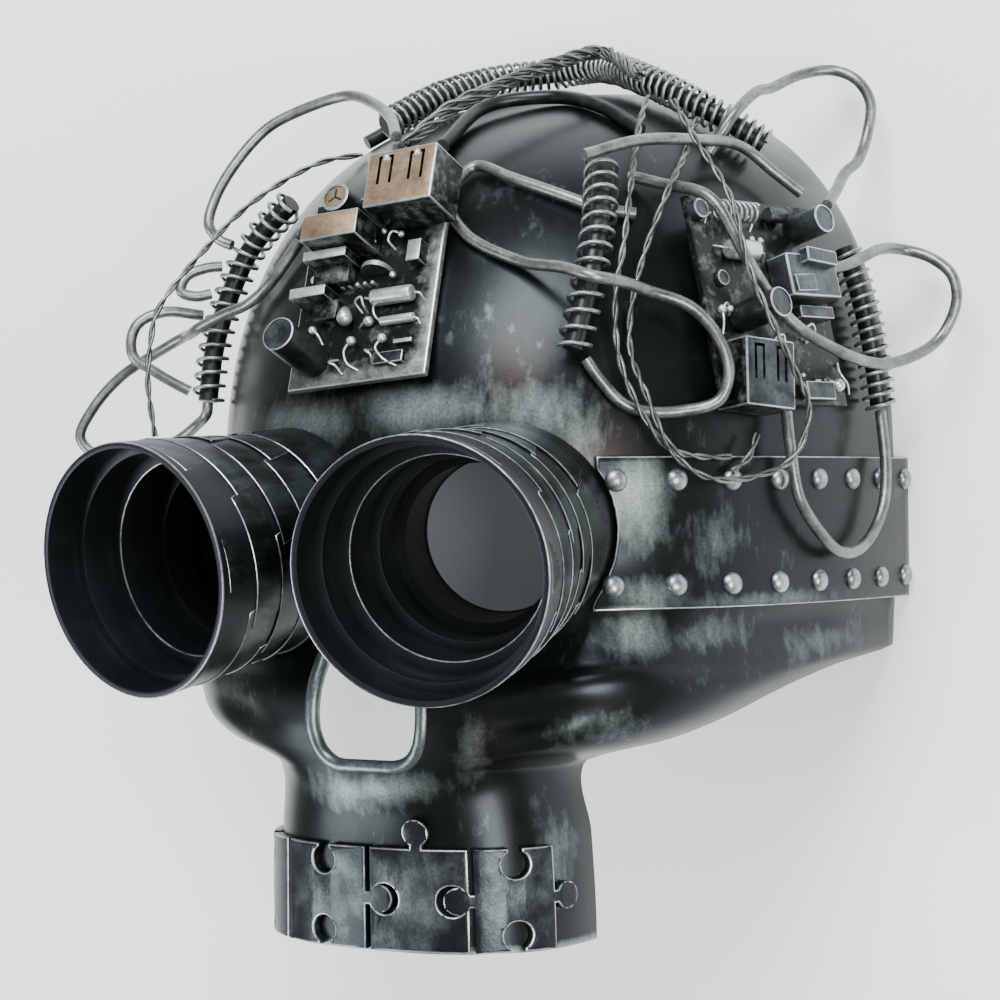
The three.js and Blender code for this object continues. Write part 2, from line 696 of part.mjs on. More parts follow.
function makeFrontBoard() {
  const board = boardGroup(frontSeat);
  const t = plateThickness;
  const [width, height] = frontPlate;
  let plate = block(0, 3.5, width, height, 0, t);
  plate = plate.add(block(-9, 10, 12, 2.4, t - 0.5, 9)).add(block(-9, 6.5, 10, 5, t - 0.5, 5));
  plate = plate.add(block(-13, 1, 10, 2.6, t - 0.5, 8)).add(block(13.4, 9.7, 3.6, 5.5, t - 0.5, 5));
  plate = plate.add(lyingCan(8.3, -0.8, 3.3, 2, 11)).add(lyingCan(10, -6.8, 2.4, 1.1, 9));
  plate = plate.add(can(-3.9, -5.3, 2, t - 0.5, 5, 8)).add(can(2.3, -6.5, 1.3, t - 0.5, 3.5, 8));
  plate = plate.add(can(-1.3, -11.5, 1.2, t - 0.5, 4, 8)).add(can(7.3, -11.9, 1.2, t - 0.5, 4, 8));
  plate = plate.add(block(1.8, 7, 8, 1.6, t - 0.5, 6)).add(block(9, -16.5, 8, 3, t - 0.5, 2.8));
  addPiece('board_forehead', fromSolid(plate), blackMetal, board);
  const low = t + fitGap;
  addPiece('socket_forehead', fromSolid(socketBlock(12.8, 24.7, ...frontSocket, low, 14)), bronze, board);
  addPiece('connector_forehead', fromSolid(block(-6, 15.3, 15.5, 6.7, low, 13)), bronze, board);
  addPiece('capacitor_forehead_top', fromSolid(can(-7.7, 24.6, 3.7, low, 10)), gunmetal, board);
  addPiece('capacitor_forehead_low', fromSolid(can(-12.5, -14.5, 4.2, low, 17)), blackPlastic, board);
}

function makeSideBoard() {
  const board = boardGroup(sideSeat);
  const stand = boardGroup(standSeat);
  const t = plateThickness;
  const [width, height] = sidePlate;
  const toBoard = boardMatrix(sideSeat).invert().multiply(boardMatrix(standSeat));
  const notch = new THREE.BoxGeometry(sideSocket[0] + 2 * fitGap, sideSocket[1] + 2 * fitGap, 30);
  let plate = block(-4, 0.5, width, height, 0, t).subtract(toSolid(notch, toBoard));
  plate = plate.add(block(9.3, -2.3, 12, 3, t - 0.5, 5)).add(block(6.3, -21.5, 10, 4.5, t - 0.5, 4));
  plate = plate.add(lyingCan(-12, 12.3, 3.8, 2.4, 9.7)).add(lyingCan(3, 22, 3.2, 1.8, 6));
  plate = plate.add(can(13.7, -20, 1.7, t - 0.5, 4, 8)).add(can(-22, -2.4, 1.2, t - 0.5, 3.5, 8));
  plate = plate.add(can(-23, 22, 2.4, t - 0.5, 3.4, 8));
  addPiece('board_temple', fromSolid(plate), blackMetal, board);
  const low = t + fitGap;
  const flaps = block(7, 5.8, 17.5, 10.5, low, 8).add(block(8.5, 9.5, 9, 5, 7.5, 10.5));
  addPiece('connector_temple', fromSolid(flaps), gunmetal, board);
  addPiece('capacitor_temple_top', fromSolid(can(11.5, 19.3, 3.5, low, 11)), gunmetal, board);
  addPiece('capacitor_temple_low', fromSolid(can(-15.3, -4, 3.6, low, 15)), blackPlastic, board);
  addPiece('coil_temple', fromSolid(lyingCan(-12.8, 21.3, 4.8, 2.6, 13)), agedSilver, board);
  addPiece('socket_temple', fromSolid(socketBlock(0, 0, ...sideSocket, fitGap, 11)), gunmetal, stand);
}

function makeRound(routes, radius, sides, spacing, material) {
  for (const [name, route] of Object.entries(routes)) {
    const points = route.map(([turn, rise, lift]) => onSkull(turn, rise, lift));
    const end = sideEnds[name];
    if (end) points.push(new THREE.Vector3(...end).applyMatrix4(boardMatrix(sideSeat)));
    const length = new THREE.CatmullRomCurve3(points, false, 'centripetal').getLength();
    const steps = Math.max(3, Math.round(length / spacing));
    addPiece(name, fromSolid(toSolid(tube(points, radius, sides, steps))), material);
  }
}

makeShell();
const seatBody = skullBody(fitGap);
for (const [name, side] of [['right', -1], ['left', 1]]) {
  makeBarrel(name, side, seatBody);
  makeBand(name, side);
}
makeJigsaw();
makeFrontBoard();
makeSideBoard();
makeRound(springRoutes, springRadius, 8, 8, gunmetal);
makeRound(cableRoutes, cableRadius, 6, 8, agedSilver);
makeRound(darkRoutes, sleeveRadius, 6, 8, blackPlastic);
makeRound(wireRoutes, wireRadius, 5, 9, agedSilver);
makeRound(bundleRoutes, bundleRadius, 6, 9, agedSilver);

export default mask;
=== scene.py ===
import math

import bmesh
import bpy
from mathutils import Matrix, Vector


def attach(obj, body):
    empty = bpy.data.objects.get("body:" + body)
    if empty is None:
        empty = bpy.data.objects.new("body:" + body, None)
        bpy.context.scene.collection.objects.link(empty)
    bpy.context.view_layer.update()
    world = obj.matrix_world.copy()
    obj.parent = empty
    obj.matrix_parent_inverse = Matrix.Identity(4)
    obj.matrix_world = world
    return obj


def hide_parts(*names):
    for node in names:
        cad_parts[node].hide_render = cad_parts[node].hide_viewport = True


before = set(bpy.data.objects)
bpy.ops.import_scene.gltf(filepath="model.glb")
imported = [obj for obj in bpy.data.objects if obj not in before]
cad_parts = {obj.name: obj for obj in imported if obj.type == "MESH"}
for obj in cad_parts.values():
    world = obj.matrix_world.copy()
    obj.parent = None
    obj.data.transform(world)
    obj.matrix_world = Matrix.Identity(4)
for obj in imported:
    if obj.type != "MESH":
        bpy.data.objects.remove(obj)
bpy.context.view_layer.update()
mm = 0.001
print("frame loaded")


# sizes are millimetres on the mask as it is worn: x to the wearer's left, y to the back, z up
skull = {
    "headWidth": 168, "crownHeight": 210, "domeBase": 105, "rimDepth": 112, "wall": 2, "fitGap": 0.3,
    "archPower": 2.6, "profilePower": 2.2, "planPower": 2.45,
    "turnSteps": 180, "faceSteps": 100, "domeSteps": 90,
}
# sections of the face, as shares of domeBase, of half the head width and twice of the rim depth
faceRows = [
    (0.00, 0.468, 0.270, -0.050, 2.50),
    (0.24, 0.460, 0.262, -0.052, 2.50),
    (0.35, 0.442, 0.245, -0.060, 2.45),
    (0.395, 0.455, 0.240, -0.066, 2.40),
    (0.42, 0.540, 0.255, -0.072, 2.35),
    (0.445, 0.670, 0.300, -0.076, 2.35),
    (0.49, 0.790, 0.390, -0.080, 2.40),
    (0.545, 0.880, 0.530, -0.078, 2.45),
    (0.59, 0.945, 0.740, -0.070, 2.50),
    (0.62, 0.990, 1.000, -0.062, 2.50),
    (0.72, 1.000, 1.000, -0.035, 2.50),
    (0.85, 1.000, 1.000, -0.010, 2.45),
    (1.00, 1.000, 1.000, 0.000, 2.45),
]
# turn, share of domeBase, spread in degrees, spread as a share, millimetres out
faceDents = [
    (17, 0.76, 13, 0.11, -4.5),
    (66, 0.69, 16, 0.05, -3.5),
    (38, 0.61, 12, 0.05, 2.5),
    (29, 0.51, 9, 0.04, -2),
    (30, 0.40, 12, 0.04, 1.2),
    (0, 0.36, 16, 0.05, 1.2),
]


def placed(point):
    # the mask lies face up on its rear rim, with the crown's rim at the origin
    x, y, z = point
    return Vector((x, z - skull["crownHeight"] + skull["wall"] / 2, skull["rimDepth"] - y)) * mm


def signedPower(base, exponent):
    return math.copysign(abs(base) ** exponent, base)


def rowSlopes(column):
    # slopes that carry a smooth line through the sections without overshooting one
    steps = [
        (high[column] - low[column]) / (high[0] - low[0])
        for low, high in zip(faceRows, faceRows[1:])
    ]
    slopes = [0.0]
    for before, after in zip(steps, steps[1:]):
        slopes.append(2 * before * after / (before + after) if before * after > 0 else 0.0)
    return slopes + [0.0]


slopesOf = [None] + [rowSlopes(column) for column in (1, 2, 3, 4)]


def faceRow(share):
    i = 0
    while i < len(faceRows) - 2 and share > faceRows[i + 1][0]:
        i += 1
    low, high = faceRows[i], faceRows[i + 1]
    gap = high[0] - low[0]
    t = min(max((share - low[0]) / gap, 0), 1)
    values = []
    for column in (1, 2, 3, 4):
        rise = slopesOf[column][i] * gap, slopesOf[column][i + 1] * gap
        values.append(
            low[column] * (1 + 2 * t) * (1 - t) ** 2 + rise[0] * t * (1 - t) ** 2
            + high[column] * t * t * (3 - 2 * t) - rise[1] * t * t * (1 - t)
        )
    return values


def skullFace(turn, rise):
    sine = math.sin(math.radians(turn))
    cosine = max(math.cos(math.radians(turn)), 0)
    half = skull["headWidth"] / 2
    if rise >= 0:
        lift = math.sin(math.radians(min(rise, 90))) ** (2 / skull["profilePower"])
        wide = half * max(1 - lift ** skull["archPower"], 0) ** (1 / skull["archPower"])
        deep = skull["rimDepth"] * max(1 - lift ** skull["profilePower"], 0) ** (1 / skull["profilePower"])
        height = skull["domeBase"] + lift * (skull["crownHeight"] - skull["domeBase"])
        bend = 2 / skull["planPower"]
        return Vector((wide * signedPower(sine, bend), skull["rimDepth"] - deep * cosine ** bend, height))
    wide, side, front, plan = faceRow(1 + rise / 90)
    depth = (side - front) * skull["rimDepth"] * cosine ** (2 / plan)
    return Vector((
        half * wide * signedPower(sine, 2 / plan),
        side * skull["rimDepth"] - depth,
        skull["domeBase"] * (1 + rise / 90),
    ))


def skullNormal(turn, rise):
    step = 1.5
    across = skullFace(min(turn + step, 90), rise) - skullFace(max(turn - step, -90), rise)
    low = max(min(rise, 88) - step, -90)
    along = skullFace(turn, min(rise + step, 89.4)) - skullFace(turn, low)
    normal = across.cross(along)
    if abs(turn) == 90:
        normal.y = 0
    if rise == -90:
        normal.z = 0
    return Vector((0, 0, 1)) if rise > 89 else normal.normalized()


def dentDepth(turn, rise):
    out = 0.0
    for dentTurn, share, spread, tall, depth in faceDents:
        for mirror in ((1,) if dentTurn == 0 else (1, -1)):
            across = (turn - mirror * dentTurn) / spread
            along = (1 + rise / 90 - share) / tall
            out += depth * math.exp(-across * across - along * along)
    return out


def onSkull(turn, rise, lift=0.0):
    return skullFace(turn, rise) + skullNormal(turn, rise) * (dentDepth(turn, rise) + lift)


def riseAt(height):
    if height <= skull["domeBase"]:
        return 90 * (height / skull["domeBase"] - 1)
    lift = (height - skull["domeBase"]) / (skull["crownHeight"] - skull["domeBase"])
    return math.degrees(math.asin(min(lift, 1) ** (skull["profilePower"] / 2)))


def turnAt(x, rise):
    low, high = -90.0, 90.0
    for _ in range(20):
        middle = (low + high) / 2
        if onSkull(middle, rise).x < x:
            low = middle
        else:
            high = middle
    return low


# materials
def toLinear(hexColour):
    channels = [int(hexColour[i:i + 2], 16) / 255 for i in (1, 3, 5)]
    return tuple(c / 12.92 if c <= 0.04045 else ((c + 0.055) / 1.055) ** 2.4 for c in channels) + (1.0,)


def addNode(tree, kind, inputs=None, **settings):
    node = tree.nodes.new(kind)
    for name, value in settings.items():
        setattr(node, name, value)
    for socket, value in (inputs or {}).items():
        if isinstance(value, bpy.types.NodeSocket):
            tree.links.new(value, node.inputs[socket])
        else:
            node.inputs[socket].default_value = value
    return node


def perSize(size):
    # the noise scale whose features are that many millimetres across
    return 1 / (size * mm)


def paintedMaterial(name, look):
    # a dark coat; where the silver attribute asks, clouds of dry-brushed metal that also serve as painted
    # highlights; and warm stains
    material = bpy.data.materials.new(name)
    material.use_nodes = True
    tree = material.node_tree
    shader = tree.nodes["Principled BSDF"]
    place = addNode(tree, "ShaderNodeTexCoord").outputs["Object"]
    stretched = addNode(tree, "ShaderNodeMapping", {"Vector": place, "Scale": look["streak"]}).outputs[0]
    clouds = addNode(tree, "ShaderNodeTexNoise", {
        "Vector": place, "Scale": perSize(look["cloud"]), "Detail": 5.0, "Roughness": 0.62})
    strokes = addNode(tree, "ShaderNodeTexNoise", {
        "Vector": stretched, "Scale": perSize(look["stroke"]), "Detail": 4.0, "Roughness": 0.6})
    grit = addNode(tree, "ShaderNodeTexNoise", {
        "Vector": place, "Scale": perSize(look["grit"]), "Detail": 2.0, "Roughness": 0.5})
    asked = addNode(tree, "ShaderNodeAttribute", attribute_name="silverAndHighlight").outputs["Fac"]
    stained = addNode(tree, "ShaderNodeAttribute", attribute_name="stain").outputs["Fac"]
    mottled = addNode(tree, "ShaderNodeMath", {0: clouds.outputs["Fac"], 1: strokes.outputs["Fac"]},
                      operation="MULTIPLY").outputs[0]
    broken = addNode(tree, "ShaderNodeMath", {0: mottled, 1: look["mottle"]},
                     operation="MULTIPLY").outputs[0]
    wanted = addNode(tree, "ShaderNodeMath", {0: asked, 1: 0.5, 2: broken},
                     operation="MULTIPLY_ADD").outputs[0]
    # how much silver shows: partly dry-brushed metal, partly painted highlight
    brushedAndHighlit = addNode(tree, "ShaderNodeMapRange", {
        "Value": wanted, "From Min": look["start"], "From Max": look["full"],
        "To Min": 0.0, "To Max": look["most"]}).outputs[0]
    specks = addNode(tree, "ShaderNodeMapRange", {
        "Value": grit.outputs["Fac"], "From Min": 0.35, "From Max": 0.6,
        "To Min": 0.65, "To Max": 1.0}).outputs[0]
    cover = addNode(tree, "ShaderNodeMath", {0: brushedAndHighlit, 1: specks}, operation="MULTIPLY",
                    use_clamp=True).outputs[0]
    dark = addNode(tree, "ShaderNodeMix", {
        0: clouds.outputs["Fac"], 6: toLinear(look["coat"]), 7: toLinear(look["coatLight"])},
        data_type="RGBA").outputs[2]
    stainAmount = addNode(tree, "ShaderNodeMath", {0: stained, 1: strokes.outputs["Fac"]},
                          operation="MULTIPLY", use_clamp=True).outputs[0]
    warm = addNode(tree, "ShaderNodeMix", {0: stainAmount, 6: dark, 7: toLinear(look["stain"])},
                   data_type="RGBA").outputs[2]
    colour = addNode(tree, "ShaderNodeMix", {0: cover, 6: warm, 7: toLinear(look["metal"])},
                     data_type="RGBA").outputs[2]
    rough = addNode(tree, "ShaderNodeMapRange", {
        "Value": cover, "To Min": look["gloss"], "To Max": look["matt"]}).outputs[0]
    uneven = addNode(tree, "ShaderNodeMath", {0: mottled, 1: 0.25, 2: rough},
                     operation="MULTIPLY_ADD").outputs[0]
    bump = addNode(tree, "ShaderNodeBump", {
        "Height": grit.outputs["Fac"], "Strength": look["bump"], "Distance": 0.3 * mm}).outputs[0]
    tree.links.new(colour, shader.inputs["Base Color"])
    tree.links.new(uneven, shader.inputs["Roughness"])
    tree.links.new(bump, shader.inputs["Normal"])
    shader.inputs["Metallic"].default_value = look["metallic"]
    return material


# what a paint has unless it says otherwise: its stain, the stretch of its strokes, its share of mottling
usualLook = {"stain": "#2c2016", "streak": (1, 1, 1), "mottle": 1.0}
paintLooks = {
    # polyurethane shell, sprayed black and dry-brushed: glossy dark with cloudy grey-green silver, whose
    # colour also serves for the painted highlights
    "blackShell": {
        "coat": "#101415", "coatLight": "#1f2526", "stain": "#3d251c", "metal": "#a9bab6",
        "cloud": 11, "stroke": 2.2, "grit": 0.7, "streak": (1, 0.3, 1), "start": 0.2, "full": 0.8,
        "mottle": 0.6, "most": 0.85, "gloss": 0.24, "matt": 0.4, "bump": 0.05, "metallic": 0.75},
    # sheet strips on the barrels: darker, finely scratched round the tube
    "barrelSheet": {
        "coat": "#0d0f10", "coatLight": "#2a3030", "stain": "#3a3426", "metal": "#8d9796",
        "cloud": 12, "stroke": 3, "grit": 0.8, "streak": (1, 1, 0.3), "start": 0.2, "full": 0.9,
        "most": 0.7, "gloss": 0.26, "matt": 0.4, "bump": 0.1, "metallic": 0.8},
    # the inside of the barrels: dull black spray
    "barrelInside": {
        "coat": "#0b0d0e", "coatLight": "#1d2325", "metal": "#56605f",
        "cloud": 14, "stroke": 4, "grit": 0.8, "streak": (1, 1, 0.4), "start": 0.4, "full": 0.9,
        "most": 0.4, "gloss": 0.34, "matt": 0.5, "bump": 0.12, "metallic": 0.6},
    # pressed plates of the jigsaw: gunmetal worn pale in clouds
    "gunmetalPlate": {
        "coat": "#15181a", "coatLight": "#343a3b", "metal": "#8f9998",
        "cloud": 9, "stroke": 4, "grit": 0.7, "streak": (1, 0.6, 1), "start": 0.3, "full": 1.0,
        "most": 0.85, "gloss": 0.28, "matt": 0.42, "bump": 0.14, "metallic": 0.85},
    # edges rubbed bare: bright metal with dark grit left in the hollows
    "rubbedEdge": {
        "coat": "#4a5253", "coatLight": "#7d8787", "metal": "#c9d2d0",
        "cloud": 6, "stroke": 2, "grit": 0.6, "start": 0.1, "full": 0.45,
        "most": 0.9, "gloss": 0.28, "matt": 0.36, "bump": 0.1, "metallic": 0.9},
    # cables: soft vinyl painted aged silver, dull and mottled
    "agedCable": {
        "coat": "#2a2d2c", "coatLight": "#525754", "stain": "#5a4a38", "metal": "#a3a8a2",
        "cloud": 9, "stroke": 3, "grit": 0.6, "start": 0.2, "full": 0.6,
        "most": 0.8, "gloss": 0.28, "matt": 0.38, "bump": 0.12, "metallic": 0.85},
    # coil springs: dark wire with the crowns of the turns brushed bright
    "springWire": {
        "coat": "#23282a", "coatLight": "#4c5354", "stain": "#3a3426", "metal": "#a9b0ae",
        "cloud": 7, "stroke": 2, "grit": 0.5, "start": 0.14, "full": 0.5,
        "most": 0.85, "gloss": 0.26, "matt": 0.36, "bump": 0.08, "metallic": 0.9},
    # cores, sleeves and can bodies: black moulded plastic
    "blackPlastic": {
        "coat": "#0a0b0c", "coatLight": "#1a1d1e", "metal": "#5a6261",
        "cloud": 8, "stroke": 3, "grit": 0.6, "start": 0.36, "full": 0.8,
        "most": 0.4, "gloss": 0.3, "matt": 0.45, "bump": 0.1, "metallic": 0.3},
    # tops of the forehead parts: bronze paint, rubbed
    "bronzePaint": {
        "coat": "#5d4836", "coatLight": "#8b6d52", "stain": "#8a5a34", "metal": "#cdb9a0",
        "cloud": 7, "stroke": 3, "grit": 0.5, "start": 0.2, "full": 0.6,
        "most": 0.6, "gloss": 0.34, "matt": 0.45, "bump": 0.12, "metallic": 0.7},
    # boards: black solder lacquer, rubbed to speckled silver towards the edges
    "boardLacquer": {
        "coat": "#0c0e0f", "coatLight": "#191d1e", "metal": "#a9b0ab",
        "cloud": 5, "stroke": 2.5, "grit": 0.5, "start": 0.38, "full": 0.95,
        "most": 0.85, "gloss": 0.25, "matt": 0.42, "bump": 0.14, "metallic": 0.6},
    # small parts picked out in bright silver paint
    "brightSilver": {
        "coat": "#8e9694", "coatLight": "#b5bbb8", "metal": "#e2e6e3",
        "cloud": 5, "stroke": 2, "grit": 0.5, "start": 0.1, "full": 0.5,
        "most": 0.8, "gloss": 0.25, "matt": 0.35, "bump": 0.08, "metallic": 0.85},
}
paints = {name: paintedMaterial(name, {**usualLook, **look}) for name, look in paintLooks.items()}


def lensMaterial():
    # smoke grey acrylic sheet with a painted glow: it gives off an even grey light of its own, standing in
    # for light coming through from behind
    material = bpy.data.materials.new("tintedAcrylicGlow")
    material.use_nodes = True
    tree = material.node_tree
    shader = tree.nodes["Principled BSDF"]
    place = addNode(tree, "ShaderNodeTexCoord").outputs["Object"]
    haze = addNode(tree, "ShaderNodeTexNoise", {"Vector": place, "Scale": perSize(20), "Detail": 3.0})
    colour = addNode(tree, "ShaderNodeMix", {
        0: haze.outputs["Fac"], 6: toLinear("#6a6e70"), 7: toLinear("#727678")}, data_type="RGBA").outputs[2]
    tree.links.new(colour, shader.inputs["Base Color"])
    # painted glow: the lens lights itself with its own colour
    tree.links.new(colour, shader.inputs["Emission Color"])
    shader.inputs["Emission Strength"].default_value = 0.3
    shader.inputs["Roughness"].default_value = 0.45
    shader.inputs["IOR"].default_value = 1.49
    return material


paints["tintedAcrylicGlow"] = lensMaterial()
print("materials made")


def toMesh(name, bm, materials=()):
    mesh = bpy.data.meshes.new(name)
    for material in materials:
        mesh.materials.append(paints[material])
    bm.to_mesh(mesh)
    bm.free()
    return mesh


def repaint(mesh, materials):
    mesh.materials.clear()
    for material in materials:
        mesh.materials.append(paints[material])


def joinTo(whole, bm):
    # adds a part's mesh to a larger one
    part = toMesh("part", bm)
    whole.from_mesh(part)
    bpy.data.meshes.remove(part)


def linked(name, data):
    made = bpy.data.objects.new(name, data)
    bpy.context.scene.collection.objects.link(made)
    return made


def evenSilver(mesh, value):
    silverAndHighlight = mesh.attributes.new("silverAndHighlight", "FLOAT", "POINT")
    silverAndHighlight.data.foreach_set("value", [value] * len(mesh.vertices))


def sharpEdges(bm, angle):
    return [e for e in bm.edges if len(e.link_faces) == 2 and e.calc_face_angle(0) > angle]


def evenNormals(bm):
    bmesh.ops.recalc_face_normals(bm, faces=bm.faces)


def soften(bm, edges, offset, paint=-1, segments=2):
    bmesh.ops.bevel(bm, geom=edges, offset=offset, affect="EDGES", segments=segments, profile=0.5,
                    material=paint)


def pushOut(bm, faces, reach, keep=False):
    # grows a body from flat faces
    grown = bmesh.ops.extrude_face_region(bm, geom=faces, use_keep_orig=keep)["geom"]
    moved = [g for g in grown if isinstance(g, bmesh.types.BMVert)]
    bmesh.ops.translate(bm, verts=moved, vec=reach)


def finishMesh(name, bm, materials, nodes, smoothAngle, at):
    bm.transform(at)
    finishPiece(name, toMesh(name, bm, materials), nodes, smoothAngle)


# every finished piece passes through here
def finishPiece(name, mesh, nodes, smoothAngle):
    for polygon in mesh.polygons:
        polygon.use_smooth = True
    mesh.set_sharp_from_angle(angle=math.radians(smoothAngle))
    piece = linked(name, mesh)
    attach(piece, "root")
    if nodes:
        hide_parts(*nodes)


def evaluated(piece):
    # the piece's mesh with its modifiers applied, and the piece taken away
    graph = bpy.context.evaluated_depsgraph_get()
    mesh = bpy.data.meshes.new_from_object(piece.evaluated_get(graph))
    bpy.data.objects.remove(piece)
    return mesh


def cutAway(blank, cutter):
    # the blank's mesh with the cutter's shape taken out of it
    cut = blank.modifiers.new("cut", "BOOLEAN")
    cut.operation = "DIFFERENCE"
    cut.solver = "EXACT"
    cut.object = cutter
    mesh = evaluated(blank)
    bpy.data.objects.remove(cutter)
    return mesh


# places where the brush left silver, which also serve as painted highlights on the brow, dome, cheek and
# chin, or a warm stain: turn, height, half width, half height, strength
silverAndHighlightPatches = [
    (-12, 122, 14, 5, 0.85),
    (4, 124, 14, 5, 0.95),
    (22, 123, 12, 7, 0.6),
    (28, 117, 6, 7, 0.5),
    (-34, 112, 14, 8, 0.2),
    (14, 176, 12, 6, 0.15),
    (12, 138, 10, 12, 0.1),
    (39, 72, 7, 5, 0.8),
    (52, 72, 14, 4, 0.35),
    (74, 68, 20, 4, 0.3),
    (48, 52, 12, 3, 0.3),
    (8, 38, 10, 3.5, 0.65),
    (-8, 36, 12, 4, 0.45),
    (26, 46, 4, 9, 0.5),
    (70, 20, 8, 12, 0.3),
    (-30, 60, 10, 6, 0.2),
    (-50, 60, 12, 6, 0.15),
]
stainPatches = [
    (30, 112, 10, 8, 0.7),
    (18, 128, 8, 16, 0.5),
    (50, 108, 9, 6, 0.4),
    (30, 46, 6, 9, 0.3),
]


def patchValue(point, patches, centres):
    best = 0.0
    for (turn, height, wide, tall, strength), centre in zip(patches, centres):
        across = math.hypot(point.x - centre.x, point.y - centre.y) / wide
        along = (point.z - centre.z) / tall
        best = max(best, strength * math.exp(-across * across - along * along))
    return best


def wornPoint(co):
    # from a place on the lying mask back to the worn mask's millimetres
    return Vector((co.x / mm, skull["rimDepth"] - co.z / mm,
                   co.y / mm + skull["crownHeight"] - skull["wall"] / 2))


def brushSilverHighlightsAndStains(mesh, patches, stains, extra=None):
    # the two attributes that the paint materials read: silver that also serves as painted highlight, and
    # stains
    silverAndHighlight = mesh.attributes.new("silverAndHighlight", "FLOAT", "POINT")
    stain = mesh.attributes.new("stain", "FLOAT", "POINT")
    silverAndHighlightCentres = [onSkull(p[0], riseAt(p[1])) for p in patches]
    stainCentres = [onSkull(p[0], riseAt(p[1])) for p in stains]
    for vertex in mesh.vertices:
        point = wornPoint(vertex.co)
        value = patchValue(point, patches, silverAndHighlightCentres)
        if extra:
            value = max(value, extra(point))
        silverAndHighlight.data[vertex.index].value = value
        stain.data[vertex.index].value = patchValue(point, stains, stainCentres)


# the shell
nose = {
    "width": 30, "height": 41, "bottom": 42, "rim": 1.8, "points": 96, "cutFrom": -40, "cutDepth": 70,
    "flat": 0.4, "shoulder": 0.3, "pull": 0.95,  # shares of half the width and of the height
}
eye = {"span": 74.6, "height": 88.2, "splay": 10, "dip": 7.5, "reach": 46}
barrel = {
    "length": 47, "radius": 29, "base": 26.5, "wall": 1.6, "step": (25.3, 9), "ring": (22.5, 18),
    "throat": (20.4, 30), "throatLength": 10, "lens": 17.8, "lensDepth": 53, "lensThick": 2, "lip": 1.6,
    "far": 61, "segments": 96,
    "waist": 0.985, "waistAt": 0.3, "baseAt": 0.75,  # shares of the radius and of the length
    "skinGap": 0.7, "waistGap": 0.5,  # how far the body stays inside the strips
}


def gridSheet(columns, rows, where):
    # a sheet made as a flat grid, whose points are then carried to their places
    bm = bmesh.new()
    bmesh.ops.create_grid(bm, x_segments=columns, y_segments=rows, size=1)
    for vertex in bm.verts:
        vertex.co = where((vertex.co.x + 1) / 2, (vertex.co.y + 1) / 2)
    bmesh.ops.remove_doubles(bm, verts=bm.verts, dist=1e-6)
    return bm


def quadratic(start, pull, end, t):
    return start * (1 - t) ** 2 + pull * 2 * t * (1 - t) + end * t * t


def noseOutline():
    half, low = nose["width"] / 2, nose["bottom"]
    high, shoulder = low + nose["height"], low + nose["height"] * nose["shoulder"]
    flat, pull = half * nose["flat"], half * nose["pull"]
    legs = [
        ((flat, low), (half, low), (half, shoulder)),
        ((half, shoulder), (pull, high), (0, high)),
        ((0, high), (-pull, high), (-half, shoulder)),
        ((-half, shoulder), (-half, low), (-flat, low)),
    ]
    points, count = [], nose["points"] // 4
    for start, bend, end in legs:
        points += [quadratic(Vector(start), Vector(bend), Vector(end), i / count) for i in range(count)]
    return points + [Vector((-flat, low))]


def eyeMatrix(side):
    splay, dip = math.radians(eye["splay"]), math.radians(eye["dip"])
    inward = Vector((
        -side * math.sin(splay) * math.cos(dip), math.cos(splay) * math.cos(dip), math.sin(dip)))
    across = Vector((0, 0, 1)).cross(inward).normalized()
    up = inward.cross(across)
    rim = Vector((side * eye["span"] / 2, -eye["reach"], eye["height"]))
    matrix = Matrix((across, up, inward)).transposed().to_4x4()
    matrix.translation = rim
    return matrix


# carries worn millimetres to the lying mask in metres
layDown = Matrix.Scale(mm, 4) @ Matrix.Translation((
    0, skull["wall"] / 2 - skull["crownHeight"], skull["rimDepth"])) @ Matrix.Rotation(-math.pi / 2, 4, "X")


def addCutter(bm):
    evenNormals(bm)
    return linked("cutter", toMesh("cutter", bm))


def noseCutter():
    bm = bmesh.new()
    corners = [bm.verts.new(layDown @ Vector((p.x, nose["cutFrom"], p.y))) for p in noseOutline()]
    pushOut(bm, [bm.faces.new(corners)], layDown.to_3x3() @ Vector((0, nose["cutDepth"], 0)))
    return addCutter(bm)


def spunBody(profile, segments):
    bm = bmesh.new()
    corners = [bm.verts.new((radius, 0, depth)) for radius, depth in profile]
    edges = [bm.edges.new(pair) for pair in zip(corners, corners[1:] + corners[:1])]
    bmesh.ops.spin(bm, geom=corners + edges, cent=(0, 0, 0), axis=(0, 0, 1), angle=2 * math.pi,
                   steps=segments, use_merge=True)
    bmesh.ops.remove_doubles(bm, verts=bm.verts, dist=1e-5)
    evenNormals(bm)
    return bm


def openEyes(bm):
    # the sheet is open where a barrel passes, and its edge stays hidden in the barrel's thick base
    gap = (barrel["lens"] + barrel["base"]) / 2
    for side in (-1, 1):
        toBarrel = (layDown @ eyeMatrix(side)).inverted()
        inside = []
        for face in bm.faces:
            spot = toBarrel @ face.calc_center_median()
            if spot.z > barrel["throat"][1] and math.hypot(spot.x, spot.y) < gap:
                inside.append(face)
        bmesh.ops.delete(bm, geom=inside, context="FACES")


def shellPoint(u, v):
    share = skull["faceSteps"] / (skull["faceSteps"] + skull["domeSteps"])
    rise = 90 * (v / share - 1) if v <= share else 90 * (v - share) / (1 - share)
    return placed(onSkull(-90 + 180 * u, rise))


def edgeWear(point):
    # rubbed along the bottom of the jaw, and less along the rear rim
    fade = 1.2
    jaw = math.exp(-(point.z / fade) ** 2)
    rim = math.exp(-((skull["rimDepth"] - point.y) / fade) ** 2) * 0.7
    return max(jaw, rim)


